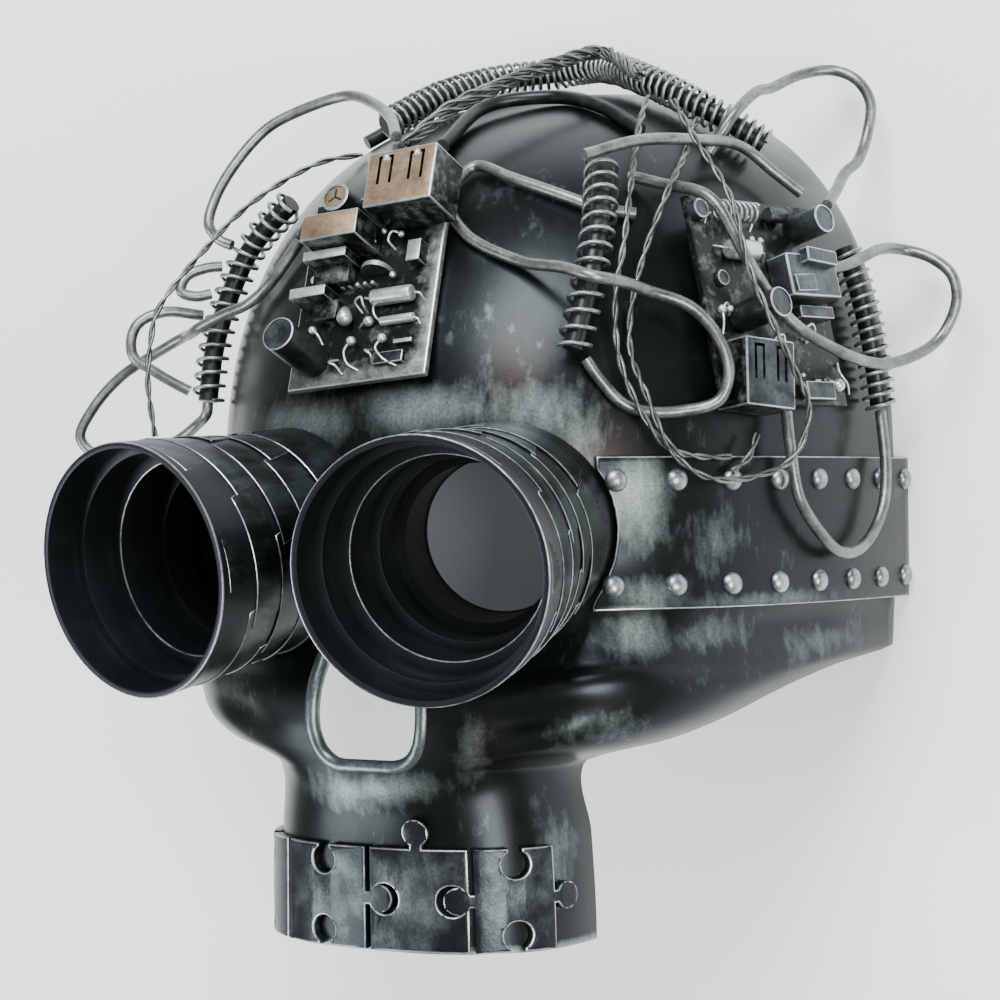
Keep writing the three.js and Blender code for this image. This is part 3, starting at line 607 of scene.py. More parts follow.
def makeShell():
    bm = gridSheet(skull["turnSteps"], skull["faceSteps"] + skull["domeSteps"], shellPoint)
    evenNormals(bm)
    front = max(bm.faces, key=lambda face: face.calc_center_median().z)
    if front.normal.z < 0:
        bmesh.ops.reverse_faces(bm, faces=bm.faces)
    openEyes(bm)
    blank = linked("shellBlank", toMesh("shellBlank", bm))
    wall = blank.modifiers.new("wall", "SOLIDIFY")
    wall.thickness = skull["wall"] * mm
    wall.offset = -1
    mesh = cutAway(blank, noseCutter())
    repaint(mesh, ["blackShell"])
    brushSilverHighlightsAndStains(mesh, silverAndHighlightPatches, stainPatches, edgeWear)
    finishPiece("skullShell", mesh, ["skull_shell"], 50)


def makeNoseRim():
    # a rounded silver bead along the nose hole
    points = []
    for p in noseOutline():
        rise = riseAt(p.y)
        points.append(onSkull(turnAt(p.x, rise), rise, -skull["wall"] / 2))
    addTube("noseRim", [points], nose["rim"], "blackShell", closed=True, silverAndHighlight=0.6)


# tubes that follow a route
def routeLength(points):
    return sum((b - a).length for a, b in zip(points, points[1:]))


curveSteps = 24


def smoothRoute(points, step=0.8):
    # a centripetal curve through the points, then even steps along it
    ends = [points[0] * 2 - points[1]] + list(points) + [points[-1] * 2 - points[-2]]
    fine = []
    for p0, p1, p2, p3 in zip(ends, ends[1:], ends[2:], ends[3:]):
        t0 = 0.0
        t1 = t0 + math.sqrt((p1 - p0).length)
        t2 = t1 + math.sqrt((p2 - p1).length)
        t3 = t2 + math.sqrt((p3 - p2).length)
        for i in range(curveSteps):
            t = t1 + (t2 - t1) * i / curveSteps
            a1 = p0.lerp(p1, (t - t0) / (t1 - t0))
            a2 = p1.lerp(p2, (t - t1) / (t2 - t1))
            a3 = p2.lerp(p3, (t - t2) / (t3 - t2))
            b1 = a1.lerp(a2, (t - t0) / (t2 - t0))
            b2 = a2.lerp(a3, (t - t1) / (t3 - t1))
            fine.append(b1.lerp(b2, (t - t1) / (t2 - t1)))
    fine.append(points[-1].copy())
    count = max(2, round(routeLength(fine) / step))
    even, walked, i = [fine[0]], 0.0, 0
    spacing = routeLength(fine) / count
    for k in range(1, count):
        while walked + (fine[i + 1] - fine[i]).length < k * spacing:
            walked += (fine[i + 1] - fine[i]).length
            i += 1
        even.append(fine[i].lerp(fine[i + 1], (k * spacing - walked) / (fine[i + 1] - fine[i]).length))
    return even + [fine[-1]]


def helixRoute(points, radius, turns, start=0.0):
    # a helix wound round a route, carried along it without twist
    normal = (points[1] - points[0]).orthogonal().normalized()
    wound = []
    for i, point in enumerate(points):
        tangent = (points[min(i + 1, len(points) - 1)] - points[max(i - 1, 0)]).normalized()
        normal = (normal - tangent * normal.dot(tangent)).normalized()
        angle = start + 2 * math.pi * turns * i / (len(points) - 1)
        outward = normal * math.cos(angle) + tangent.cross(normal) * math.sin(angle)
        wound.append(point + outward * radius)
    return wound


def addTube(name, routes, radius, material, nodes=(), closed=False, sides=3, silverAndHighlight=0.3):
    curve = bpy.data.curves.new(name, "CURVE")
    curve.dimensions = "3D"
    curve.bevel_depth = radius * mm
    curve.bevel_resolution = sides
    curve.use_fill_caps = True
    for route in routes:
        spline = curve.splines.new("POLY")
        spline.points.add(len(route) - 1)
        for target, point in zip(spline.points, route):
            target.co = (*placed(point), 1)
        spline.use_cyclic_u = closed
    mesh = evaluated(linked(name, curve))
    repaint(mesh, [material])
    evenSilver(mesh, silverAndHighlight)
    finishPiece(name, mesh, nodes, 60)


makeShell()
makeNoseRim()
print("shell made")


# the barrels
def ringProfile():
    mouth, bore = barrel["radius"] - barrel["wall"], barrel["lens"] + skull["fitGap"]
    narrow, lip = barrel["lens"] - barrel["lip"], barrel["lensDepth"] + barrel["lensThick"] + skull["fitGap"]
    (step, stepAt), (ring, ringAt), (throat, throatAt) = barrel["step"], barrel["ring"], barrel["throat"]
    boreAt, far, back = throatAt + barrel["throatLength"], barrel["far"], barrel["base"] - barrel["skinGap"]
    inside = [
        (barrel["radius"], 0), (mouth, 0), (mouth, stepAt), (step, stepAt), (step, ringAt), (ring, ringAt),
        (ring, throatAt), (throat, throatAt), (throat, boreAt), (bore, boreAt), (bore, lip), (narrow, lip),
        (narrow, far),
    ]
    outside = [
        (back, far), (back, barrel["length"] * barrel["baseAt"]),
        (barrel["radius"] * barrel["waist"] - barrel["waistGap"], barrel["length"] * barrel["waistAt"]),
    ]
    return inside, outside


def barrelRadius(depth):
    # the outside of the strips, flared from the base out to the rim
    first, last = barrel["length"] * barrel["waistAt"], barrel["length"] * barrel["baseAt"]
    if depth < first:
        return barrel["radius"] * (1 - (1 - barrel["waist"]) * depth / first)
    t = min((depth - first) / (last - first), 1)
    return barrel["radius"] * barrel["waist"] + (barrel["base"] - barrel["radius"] * barrel["waist"]) * t


def makeBarrelBody(name, side):
    inside, outside = ringProfile()
    bm = spunBody(inside + outside, barrel["segments"])
    for face in bm.faces:
        face.material_index = 1
    # the rim's outer edge and the middle ring are rubbed bright, the other steps are only softened
    bright = [(barrel["radius"], 0), barrel["ring"]]
    dull = [(barrel["radius"] - barrel["wall"], 0), barrel["step"], barrel["throat"]]
    for corners, paint in ((bright, 2), (dull, 1)):
        worn = [edge for edge in bm.edges if any(
            all(abs(math.hypot(v.co.x, v.co.y) - radius) < 0.01 and abs(v.co.z - depth) < 0.01
                for v in edge.verts) for radius, depth in corners)]
        soften(bm, worn, 0.3, paint)
    finishMesh(f"barrelBody{name}", bm, ["barrelSheet", "barrelInside", "rubbedEdge"],
               [f"barrel_{name.lower()}"], 40, layDown @ eyeMatrix(side))


strips = {
    "rows": 5, "first": 1.3, "width": 9.4, "perRow": 6, "thick": 0.45, "slant": 7, "shift": 0.37, "skew": 2,
    "overlap": 1.2, "extraSweep": 3, "sunk": 0.75, "liftFront": 0.55, "liftSide": 0.25,
}


def makeStrips(name, side):
    # short curved strips laid like slates round the tube, each row shifted from the last
    whole = bmesh.new()
    for row in range(strips["rows"]):
        low = strips["first"] + row * strips["width"]
        for k in range(strips["perRow"]):
            # each strip also starts a few degrees off, by a fixed uneven rule
            start = 360 * (k + strips["shift"] * row) / strips["perRow"] + (13 * k * (row + 2)) % 9
            sweep = 360 / strips["perRow"] + strips["extraSweep"]

            def where(u, v):
                depth = low + v * (strips["width"] + strips["overlap"]) + (u - 0.5) * strips["skew"]
                angle = math.radians(start + u * sweep - v * strips["slant"])
                lift = strips["liftFront"] * (1 - v) + strips["liftSide"] * u
                radius = barrelRadius(depth) - strips["sunk"] + lift
                return Vector((radius * math.cos(angle), radius * math.sin(angle), depth))

            bm = gridSheet(14, 3, where)
            evenNormals(bm)
            centre = sum((f.calc_center_median() for f in bm.faces), Vector()) / len(bm.faces)
            if next(iter(bm.faces)).normal.dot(Vector((centre.x, centre.y, 0))) < 0:
                bmesh.ops.reverse_faces(bm, faces=bm.faces)
            bmesh.ops.solidify(bm, geom=list(bm.faces), thickness=strips["thick"])
            evenNormals(bm)
            soften(bm, sharpEdges(bm, 0.9), 0.16, 1, segments=1)
            joinTo(whole, bm)
    finishMesh(f"barrelStrips{name}", whole, ["barrelSheet", "rubbedEdge"], (), 35,
               layDown @ eyeMatrix(side))


def makeLens(name, side):
    bm = bmesh.new()
    bmesh.ops.create_cone(bm, cap_ends=True, segments=barrel["segments"], radius1=barrel["lens"],
                          radius2=barrel["lens"], depth=barrel["lensThick"])
    soften(bm, sharpEdges(bm, 1), 0.3)
    middle = barrel["lensDepth"] + barrel["lensThick"] / 2
    place = layDown @ eyeMatrix(side) @ Matrix.Translation((0, 0, middle))
    finishMesh(f"lens{name}", bm, ["tintedAcrylicGlow"], [f"lens_{name.lower()}"], 40, place)


sides = (("Right", -1), ("Left", 1))
for sideName, sideSign in sides:
    makeBarrelBody(sideName, sideSign)
    makeStrips(sideName, sideSign)
    makeLens(sideName, sideSign)
print("barrels made")


# the side bands
band = {
    "height": 35, "floor": 77.5, "thickness": 2, "start": 31, "flare": 1.6, "rivetRadius": 2.65,
    "rivetHeight": 1.5, "rivetEnd": 4, "rivetInset": 5.4, "rivetCount": 8, "rivetCut": -0.4,
    "rows": 26, "columns": 90, "turnStep": 0.25, "frontStep": 0.1, "frontLast": 60, "lengthSteps": 59,
}
# silver rubbed on the bands, which also serves as painted highlights, brightest on the front ends: turn,
# height, half width, half height, strength
bandSilverAndHighlights = [
    (38, 104, 6, 10, 0.95), (40, 81, 8, 4, 0.7), (50, 94, 10, 7, 0.3), (60, 79, 30, 2, 0.35),
    (88, 95, 4, 16, 0.3),
]


def bandPoint(side, turn, height, lift):
    back = (turn - band["start"]) / (90 - band["start"])
    point = onSkull(turn, riseAt(height), skull["fitGap"] + band["flare"] * back ** 3 + lift)
    point.x *= side
    return point


def bandTurn(distance, height):
    turn, length = band["start"], 0.0
    last = bandPoint(1, turn, height, 0)
    while length < distance and turn < 90:
        turn += band["turnStep"]
        here = bandPoint(1, turn, height, 0)
        length += (here - last).length
        last = here
    return turn


def bandLength(height):
    steps = band["lengthSteps"]
    turns = [band["start"] + (90 - band["start"]) * i / steps for i in range(steps + 1)]
    return routeLength([bandPoint(1, turn, height, 0) for turn in turns])


def bandFront(side, height):
    # the turn where the band's front end clears the barrel's outside
    local = eyeMatrix(side).inverted()
    turn = band["start"]
    while turn < band["frontLast"]:
        place = local @ bandPoint(side, turn, height, band["thickness"])
        if math.hypot(place.x, place.y) >= barrelRadius(place.z) + skull["fitGap"]:
            break
        turn += band["frontStep"]
    return turn


def makeBand(name, side):
    rows = band["rows"]
    fronts = [bandFront(side, band["floor"] + band["height"] * row / rows) for row in range(rows + 1)]

    def where(u, v):
        front = fronts[round(v * rows)]
        height = band["floor"] + band["height"] * v
        return placed(bandPoint(side, front + (90 - front) * u, height, band["thickness"]))

    bm = gridSheet(band["columns"], rows, where)
    evenNormals(bm)
    outer = max(bm.faces, key=lambda face: abs(face.calc_center_median().x))
    if outer.normal.x * side < 0:
        bmesh.ops.reverse_faces(bm, faces=bm.faces)
    bmesh.ops.solidify(bm, geom=list(bm.faces), thickness=band["thickness"] * mm)
    evenNormals(bm)
    soften(bm, sharpEdges(bm, 1), 0.35 * mm, 1)
    mesh = toMesh(f"band{name}", bm, ("blackShell", "rubbedEdge"))
    mirrored = [(turn * side, *rest) for turn, *rest in bandSilverAndHighlights]
    brushSilverHighlightsAndStains(mesh, mirrored, [])
    finishPiece(f"band{name}", mesh, [f"band_{name.lower()}"], 40)


def makeRivets(name, side):
    whole = bmesh.new()
    for up in (band["rivetInset"], band["height"] - band["rivetInset"]):
        height = band["floor"] + up
        span = bandLength(height) - 2 * band["rivetEnd"]
        for i in range(band["rivetCount"]):
            turn = bandTurn(band["rivetEnd"] + i * span / (band["rivetCount"] - 1), height)
            seat = bandPoint(side, turn, height, band["thickness"])
            outward = (seat - bandPoint(side, turn, height, 0)).normalized()
            bm = bmesh.new()
            bmesh.ops.create_uvsphere(bm, u_segments=20, v_segments=12, radius=1)
            spare = [v for v in bm.verts if v.co.z < band["rivetCut"]]
            bmesh.ops.delete(bm, geom=spare, context="VERTS")
            bmesh.ops.holes_fill(bm, edges=[e for e in bm.edges if e.is_boundary], sides=0)
            tall = band["rivetHeight"] + skull["fitGap"]
            shape = Matrix.Diagonal((band["rivetRadius"], band["rivetRadius"], tall, 1))
            turned = outward.to_track_quat("Z", "Y").to_matrix().to_4x4()
            bm.transform(Matrix.Translation(seat) @ turned @ shape)
            joinTo(whole, bm)
    finishMesh(f"rivets{name}", whole, ["rubbedEdge"], (), 60, layDown)


for sideName, sideSign in sides:
    makeBand(sideName, sideSign)
    makeRivets(sideName, sideSign)
print("bands made")


# the jigsaw plates round the jaw
jigsaw = {
    "height": 23.5, "width": 24.5, "thick": 2, "floor": 0.6, "joint": 1.2, "knob": 3.2, "neck": 3,
    "slice": 1.6, "reach": 8, "leftEdge": 44.1, "knobSides": 22, "turnStep": 0.1,
}


def jawTurn(distance):
    turn, length = 0.0, 0.0
    last = skullFace(0, -90)
    while length < abs(distance):
        turn += jigsaw["turnStep"]
        here = skullFace(turn, -90)
        length += (here - last).length
        last = here
    return math.copysign(turn, distance)


def knobLine(start, end, centre, way, grow):
    # along an edge from start to end, round a knob (way 1) or into a socket (way -1)
    along = (end - start).normalized()
    outward = Vector((along.y, -along.x)) * way
    radius, half = jigsaw["knob"] + grow, jigsaw["neck"] / 2 + grow
    head = centre + outward * jigsaw["knob"] * 1.15
    opening = math.asin(half / radius)
    points = [start, centre - along * half]
    count = jigsaw["knobSides"]
    for i in range(count + 1):
        angle = -math.pi / 2 - opening - (2 * math.pi - 2 * opening) * i / count
        points.append(head + (along * math.cos(angle) + outward * math.sin(angle)) * radius)
    return points + [centre + along * half]


def pieceOutline(low, high, bottomWay, rightWay, topWay, leftWay):
    base, top = jigsaw["floor"], jigsaw["floor"] + jigsaw["height"]
    corners = [Vector((low, base)), Vector((high, base)), Vector((high, top)), Vector((low, top))]
    points = []
    for i, way in enumerate((bottomWay, rightWay, topWay, leftWay)):
        start, end = corners[i], corners[(i + 1) % 4]
        if way == 0:
            points.append(start)
        else:
            # a socket that takes a neighbour's knob is a little wider than the knob
            grow = skull["fitGap"] if way < 0 and i in (1, 3) else 0
            points += knobLine(start, end, (start + end) / 2, way, grow)
    return points


def makePlate(name, node, low, high, ways, highlightAndWear):
    bm = bmesh.new()
    corners = [bm.verts.new((p.x, p.y, 0)) for p in pieceOutline(low, high, *ways)]
    edges = [bm.edges.new(pair) for pair in zip(corners, corners[1:] + corners[:1])]
    bmesh.ops.triangle_fill(bm, edges=edges, use_beauty=True, use_dissolve=False)
    x = low - jigsaw["reach"]
    while x < high + jigsaw["reach"]:  # sliced upright, so that it bends round the jaw
        bmesh.ops.bisect_plane(bm, geom=bm.verts[:] + bm.edges[:] + bm.faces[:], plane_co=(x, 0, 0),
                               plane_no=(1, 0, 0))
        x += jigsaw["slice"]
    if next(iter(bm.faces)).normal.z < 0:
        bmesh.ops.reverse_faces(bm, faces=bm.faces)
    pushOut(bm, bm.faces[:], (0, 0, jigsaw["thick"]), keep=True)
    evenNormals(bm)
    rims = [e for e in sharpEdges(bm, 1.2) if min(v.co.z for v in e.verts) > jigsaw["thick"] / 2]
    soften(bm, rims, 0.4, 1)
    for vertex in bm.verts:
        turn = jawTurn(vertex.co.x)
        lift = skull["fitGap"] + vertex.co.z
        vertex.co = placed(onSkull(turn, riseAt(vertex.co.y), lift))
    evenNormals(bm)
    mesh = toMesh(name, bm, ("gunmetalPlate", "rubbedEdge"))
    middle = jawTurn((low + high) / 2)
    # silver rubbed over the middle of each plate, with a brighter painted highlight towards its top
    brushSilverHighlightsAndStains(mesh, [(middle, 12, 11, 9, highlightAndWear), (middle + 4, 20, 7, 4, highlightAndWear * 1.4)], [])
    finishPiece(name, mesh, [node], 40)


wide = jigsaw["width"]
# name, node, edges, ways of the bottom, right, top and left edge, and the strength of the rubbed silver and
# painted highlight
jigsawPlates = [
    ("jigsawFarRight", "jigsaw_far_right", -2 * wide, -wide, (-1, 0, -1, 0), 0.25),
    ("jigsawRight", "jigsaw_right", -wide, 0, (-1, 1, -1, 0), 0.35),
    ("jigsawCentre", "jigsaw_centre", 0, wide, (0, -1, 1, -1), 0.6),
    ("jigsawLeft", "jigsaw_left", wide, jigsaw["leftEdge"], (-1, 1, -1, 1), 0.3),
]
halfJoint = jigsaw["joint"] / 2
for plateName, plateNode, lowEdge, highEdge, plateWays, plateHighlightAndWear in jigsawPlates:
    makePlate(plateName, plateNode, lowEdge + halfJoint, highEdge - halfJoint, plateWays, plateHighlightAndWear)
print("jigsaw made")


def boardPlace(turn, rise, roll):
    # a plane that touches the face, with its own x across, y up and z out
    outward = skullNormal(turn, rise)
    across = Vector((0, 0, 1)).cross(outward).normalized()
    basis = Matrix((across, outward.cross(across), outward)).transposed().to_4x4()
    return Matrix.Translation(onSkull(turn, rise, skull["fitGap"])) @ basis @ Matrix.Rotation(
        math.radians(roll), 4, "Z")


frontPlace = boardPlace(-3, 23, 5)
sidePlace = boardPlace(64, 22, 0)
standPlace = boardPlace(56, 12, -5)
# cable ends that a part on the side board holds
sideEnds = {"cable_crown_left": (14.6, 23.2, 10), "cable_left_loop": (16.4, 8.5, 6)}


# routes round the skull, each point as degrees of turn, degrees of rise and lift over the face
springs = {
    "spring_forehead": (13, [(30, 41, 8), (30, 31, 8), (29, 24, 7.5), (28, 19, 6), (27, 15, 5)]),
    "spring_right": (16, [
        (-33, 40, 5), (-39, 36, 5.5), (-43, 32, 6), (-45, 25, 6), (-46, 18, 6), (-46, 11, 5.5)]),
    "spring_left": (15, [(80, 31, 5), (81, 25, 5), (82, 18, 5), (83, 9, 5)]),
    "spring_crown": (57, [
        (-25, 57, 5), (-23, 67, 5.5), (-20, 76, 6), (0, 82, 6.5), (27, 80, 7), (46, 67, 5.5), (57, 58, 5),
        (64, 53, 5), (69, 49, 5)]),
}
coil = {"radius": 3.8, "wire": 0.5, "core": 2.5}
cables = {
    "cable_forehead": [
        (37, 35, 2), (30, 36, 2), (24, 38, 2), (13, 42, 2), (5, 45, 2), (3, 39, 2), (8, 32, 2),
        (18, 27, 3.5), (25, 24, 10.5), (29, 22, 14.5), (33, 22, 12), (38, 22, 7), (45, 20, 7), (49, 16, 8),
        (50, 12, 9), (49, 9, 7), (44, 8, 3), (39, 8, 2), (35, 9, 2), (31, 12, 3), (29, 14, 4)],
    "cable_cut_end": [(27, 38, 15.5), (36, 42, 13), (48, 45, 9.5), (61, 47, 6), (68, 43, 5), (72, 39, 6)],
    "cable_left_loop": [
        (36, 42, 2), (41, 39, 5), (47, 33, 14), (52, 26, 13), (56, 24, 9), (60, 21, 7), (64, 18, 7.5),
        (68, 16, 9), (73, 14, 12), (80, 14, 13), (85, 16, 18), (86, 18, 21.5), (86, 21, 25), (86, 24, 25),
        (86, 27, 20.5), (85, 29, 15), (81, 29, 13), (78, 28, 11), (75, 27, 9)],
    "cable_crown_left": [
        (56, 49, 0.9), (59, 51, 10), (65, 54, 14), (74, 57, 14), (80, 57, 19), (84, 55, 24), (85, 52, 26),
        (86, 49, 24.5), (86, 46, 19), (84, 43, 14.5), (80, 41, 12.5), (76, 38, 12)],
    "cable_left_u": [
        (62, 8, 5), (62, 4, 6), (63, -2, 7), (67, -9, 7), (71, -13, 7), (75, -13, 7), (79, -9, 7),
        (81, -3, 7.5), (82, 2, 7), (83, 8.5, 5)],
    "cable_right_top": [
        (-3, 44, 14), (-9, 50, 12), (-18, 54, 13), (-28, 55, 16), (-38, 51, 19), (-42, 47, 21),
        (-44, 41, 21), (-45, 36, 20), (-45, 33, 18), (-45, 32, 14), (-44, 32, 10.6)],
    "cable_right_small": [
        (-47, 22, 11), (-46, 21, 20.5), (-46, 19, 26), (-46, 17, 27), (-46, 15, 25.5), (-46, 14, 21),
        (-46, 13, 16), (-46, 12, 10.4)],
    "cable_right_tiny": [
        (-46, 29, 10.6), (-46, 28, 14), (-46, 26, 18), (-46, 24, 18), (-46, 24, 14), (-46, 25, 10.6)],
    "cable_right_low": [
        (-22, 33, 3), (-27, 27, 2.5), (-32, 24, 3.5), (-38, 22, 7), (-42, 20, 11), (-46, 19, 13),
        (-49, 19, 14), (-52, 17, 19.5), (-54, 13, 30), (-54, 9, 36.5), (-54, 6, 39), (-54, 4, 33.5),
        (-54, 4, 23.5), (-52, 6, 13.5), (-49, 8, 8), (-46, 9.5, 5.5), (-46, 10.8, 5.5)],
}
sleeves = {
    "cable_crown_dark": [(-2, 51, 2), (-1, 63, 3), (13, 67, 2), (29, 61, 2), (39, 53, 2)],
    "cable_crown_rear": [(-41, 57, 2.2), (-38, 66, 2.5), (-33, 76, 2.2)],
}
twists = {
    "wire_right": [
        (-38, 6, 19), (-38, 12, 22), (-38, 17, 23), (-38, 20, 23), (-38, 29, 17), (-38, 38, 12),
        (-35, 48, 6), (-30, 53, 1.3)],
    "wire_left_loop": [
        (40, 55, 9), (37, 47, 9), (35, 36, 9), (34, 28, 8.5), (33, 21, 6.5), (34, 14, 5), (37, 8, 6),
        (41, 4, 6), (47, 1, 6.5), (55, 1, 7), (61, 3, 9), (62, 8, 12), (57, 12, 17), (54, 16, 18),
        (51, 23, 17), (49, 32, 17.5), (46, 41, 15), (43, 49, 15)],
    "wire_left_inner": [
        (54, 55, 4), (46, 43, 8), (41, 35, 10), (38, 28, 5), (36, 20, 3), (36, 15, 3.5), (37, 10, 9),
        (41, 4, 8.5), (47, 3, 4.5), (52, 3, 4.5)],
    "wire_socket": [(57, 5.5, 4), (55, 3, 5), (52, 1.5, 5)],
}
bundles = {
    "wire_crown": [(-2, 44, 11), (0, 51, 11), (6, 58, 11), (16, 66, 11), (28, 71, 11.5), (39, 60, 11)],
}
cableSizes = {
    "cable": 1.4, "sleeve": 1.8, "strand": 0.42, "twistPitch": 13, "bundle": 1.25, "bundlePitch": 26,
}


def twisted(path):
    # two strands wound round each other
    turns = routeLength(path) / cableSizes["twistPitch"]
    return [helixRoute(path, cableSizes["strand"], turns, math.pi * i) for i in (0, 1)]


def routePoints(route):
    return [onSkull(*point) for point in route]


def pieceName(node):
    first, *rest = node.split("_")
    return first + "".join(word.capitalize() for word in rest)


for node, (turns, route) in springs.items():
    middle = smoothRoute(routePoints(route), 0.25)
    wound = helixRoute(middle, coil["radius"], turns)
    addTube(pieceName(node), [wound], coil["wire"], "springWire", [node], sides=2,
            silverAndHighlight=0.5)
    addTube(pieceName(node) + "Core", [smoothRoute(routePoints(route), 1)], coil["core"], "blackPlastic")
print("springs made")

for node, route in cables.items():
    points = routePoints(route)
    if node in sideEnds:
        points.append(sidePlace @ Vector(sideEnds[node]))
    addTube(pieceName(node), [smoothRoute(points)], cableSizes["cable"], "agedCable", [node],
            silverAndHighlight=0.4)
for node, route in sleeves.items():
    addTube(pieceName(node), [smoothRoute(routePoints(route))], cableSizes["sleeve"], "blackPlastic", [node])
for node, route in {**twists, **bundles}.items():
    middle = smoothRoute(routePoints(route), 0.6)
    if node in bundles:
        turns = routeLength(middle) / cableSizes["bundlePitch"]
        paths = [helixRoute(middle, cableSizes["bundle"], turns, math.pi * pair / 2) for pair in range(4)]
    else:
        paths = [middle]
    strands = [strand for path in paths for strand in twisted(path)]
    addTube(pieceName(node), strands, cableSizes["strand"], "agedCable", [node],
            sides=2, silverAndHighlight=0.25)
print("cables made")


# the two boards and the socket on its stand, each worked in its own plane: x across, y up, z out
boardPaints = ["boardLacquer", "rubbedEdge", "bronzePaint", "brightSilver", "blackPlastic", "gunmetalPlate"]
lacquer, bare, tan, bright, plastic, plated = range(6)
plateThick = 1.5
onPlate = plateThick + skull["fitGap"]
into = plateThick - 0.5  # small parts start a little inside the plate
frontSocket, sideSocket = (18.5, 14.5), (14.5, 16)  # width and height
socketSpot, socketTop = (12.8, 24.7), 14  # the forehead socket's middle and its top


def facesOf(verts):
    return list({face for vertex in verts for face in vertex.link_faces})


def addBlock(bm, x, y, width, height, low, high, side=lacquer, top=None, edge=0.3, turn=0.0, rim=bare):
    # a block with rubbed edges; its top can have another paint
    made = bmesh.ops.create_cube(bm, size=1)["verts"]
    shape = Matrix.Diagonal((width, height, high - low, 1))
    bmesh.ops.transform(bm, verts=made, matrix=Matrix.Translation(
        (x, y, (low + high) / 2)) @ Matrix.Rotation(math.radians(turn), 4, "Z") @ shape)
    faces = facesOf(made)
    for face in faces:
        face.normal_update()
        face.material_index = top if top is not None and face.normal.z > 0.9 else side
    if edge > 0:
        edges = {e for f in faces for e in f.edges}
        soften(bm, [e for e in edges if max(v.co.z for v in e.verts) > low + 0.1], edge, rim)


def addCan(bm, x, y, radius, low, high, side, top, lip, sink=0.25):
    # an upright can with a rolled lip round a sunken end
    place = Matrix.Translation((x, y, (low + high) / 2))
    made = bmesh.ops.create_cone(bm, cap_ends=True, segments=40, radius1=radius, radius2=radius,
                                 depth=high - low, matrix=place)["verts"]
    faces = facesOf(made)
    for face in faces:
        face.material_index = side
    end = max(faces, key=lambda face: face.calc_center_median().z)
    rolled = list(end.edges)
    bmesh.ops.inset_individual(bm, faces=[end], thickness=lip, depth=0)
    for face in {f for e in rolled for f in e.link_faces if len(f.verts) == 4 and abs(f.normal.z) > 0.5}:
        face.material_index = bare
    bmesh.ops.inset_individual(bm, faces=[end], thickness=0.15, depth=-sink)
    end.material_index = top
    soften(bm, rolled, 0.25, bare)


def addLying(bm, x, y, z, radius, length, paint=bright):
    # a small cylinder lying along x, with rounded ends
    place = Matrix.Translation((x, y, z)) @ Matrix.Rotation(math.pi / 2, 4, "Y")
    made = bmesh.ops.create_cone(bm, cap_ends=True, segments=28, radius1=radius, radius2=radius,
                                 depth=length, matrix=place)["verts"]
    faces = facesOf(made)
    ends = {e for f in faces if len(f.verts) > 4 for e in f.edges}
    for face in faces:
        face.material_index = paint
    soften(bm, list(ends), radius * 0.25, paint, segments=3)


def addBall(bm, x, y, z, radius, paint=bright, tip=0.0):
    # a round bead, or with a tip a drop that points up the board
    made = bmesh.ops.create_uvsphere(bm, u_segments=20, v_segments=14, radius=radius)["verts"]
    for face in facesOf(made):
        face.material_index = paint
    for vertex in made:
        if vertex.co.y > 0:
            vertex.co.x *= 1 - 0.6 * tip * vertex.co.y / radius
            vertex.co.y *= 1 + tip
    bmesh.ops.translate(bm, verts=made, vec=(x, y, z))


def addVent(bm, x, y, high, size):
    # the three-legged vent pressed into the end of a can
    for way in (90, 210, 330):
        reach = Vector((math.cos(math.radians(way)), math.sin(math.radians(way)))) * size / 2
        addBlock(bm, x + reach.x, y + reach.y, size, size * 0.2, high - 0.3, high - 0.18, plastic, edge=0,
                 turn=way)


def finishBoard(name, bm, place, nodes, wear=None):
    layer = bm.verts.layers.float.new("silverAndHighlight")
    for vertex in bm.verts:
        vertex[layer] = wear(vertex.co) if wear else 0.3
    finishMesh(name, bm, boardPaints, nodes, 35, layDown @ place)


def addLeads(name, place, routes):
    # bare wires bent by hand, from points in the board's plane
    bent = [smoothRoute([place @ Vector(point) for point in route], 0.35) for route in routes]
    addTube(name, bent, 0.3, "brightSilver", sides=2, silverAndHighlight=0.4)


# shares of the socket's width and height, then millimetres
slots = {"apart": 0.23, "raised": 0.15, "wide": 0.22, "tall": 0.52, "leg": 0.75, "deep": 2.5, "past": 2}


def slotCutter(x, y, width, height, top, at):
    # the socket's openings: two legs joined by a bar at the top
    half, up, leg = width * slots["wide"] / 2, height * slots["tall"] / 2, slots["leg"]
    outline = [
        (-half, -up), (leg - half, -up), (leg - half, up - leg), (half - leg, up - leg), (half - leg, -up),
        (half, -up), (half, up), (-half, up)]
    bm = bmesh.new()
    for way in (-1, 1):
        corner = Vector((x + way * width * slots["apart"], y + height * slots["raised"], top - slots["deep"]))
        face = bm.faces.new([bm.verts.new(corner + Vector((*point, 0))) for point in outline])
        pushOut(bm, [face], (0, 0, slots["deep"] + slots["past"]))
    bm.transform(at)
    return addCutter(bm)


def makeSocket(name, node, place, x, y, width, height, low, high, top, slot):
    bm = bmesh.new()
    addBlock(bm, x, y, width, height, low, high, lacquer, top, 0.4)
    bm.transform(layDown @ place)
    blank = linked(name, toMesh(name, bm, boardPaints))
    mesh = cutAway(blank, slotCutter(x, y, width, height, high, layDown @ place))
    evenSilver(mesh, 0.3)
    finishPiece(name, mesh, [node], 35)


def plateWear(point):
    # rubbed towards the board's right side and lower edge
    right = math.exp(-((19 - point.x) / 3.5) ** 2)
    below = math.exp(-((point.y + 21.5) / 3.5) ** 2)
    left = 0.6 * math.exp(-((point.x + 19) / 5) ** 2) * (1 if point.y < -8 else 0.3)
    return max(right, below, left, 0.15) if point.z < plateThick + 0.1 else 0.35


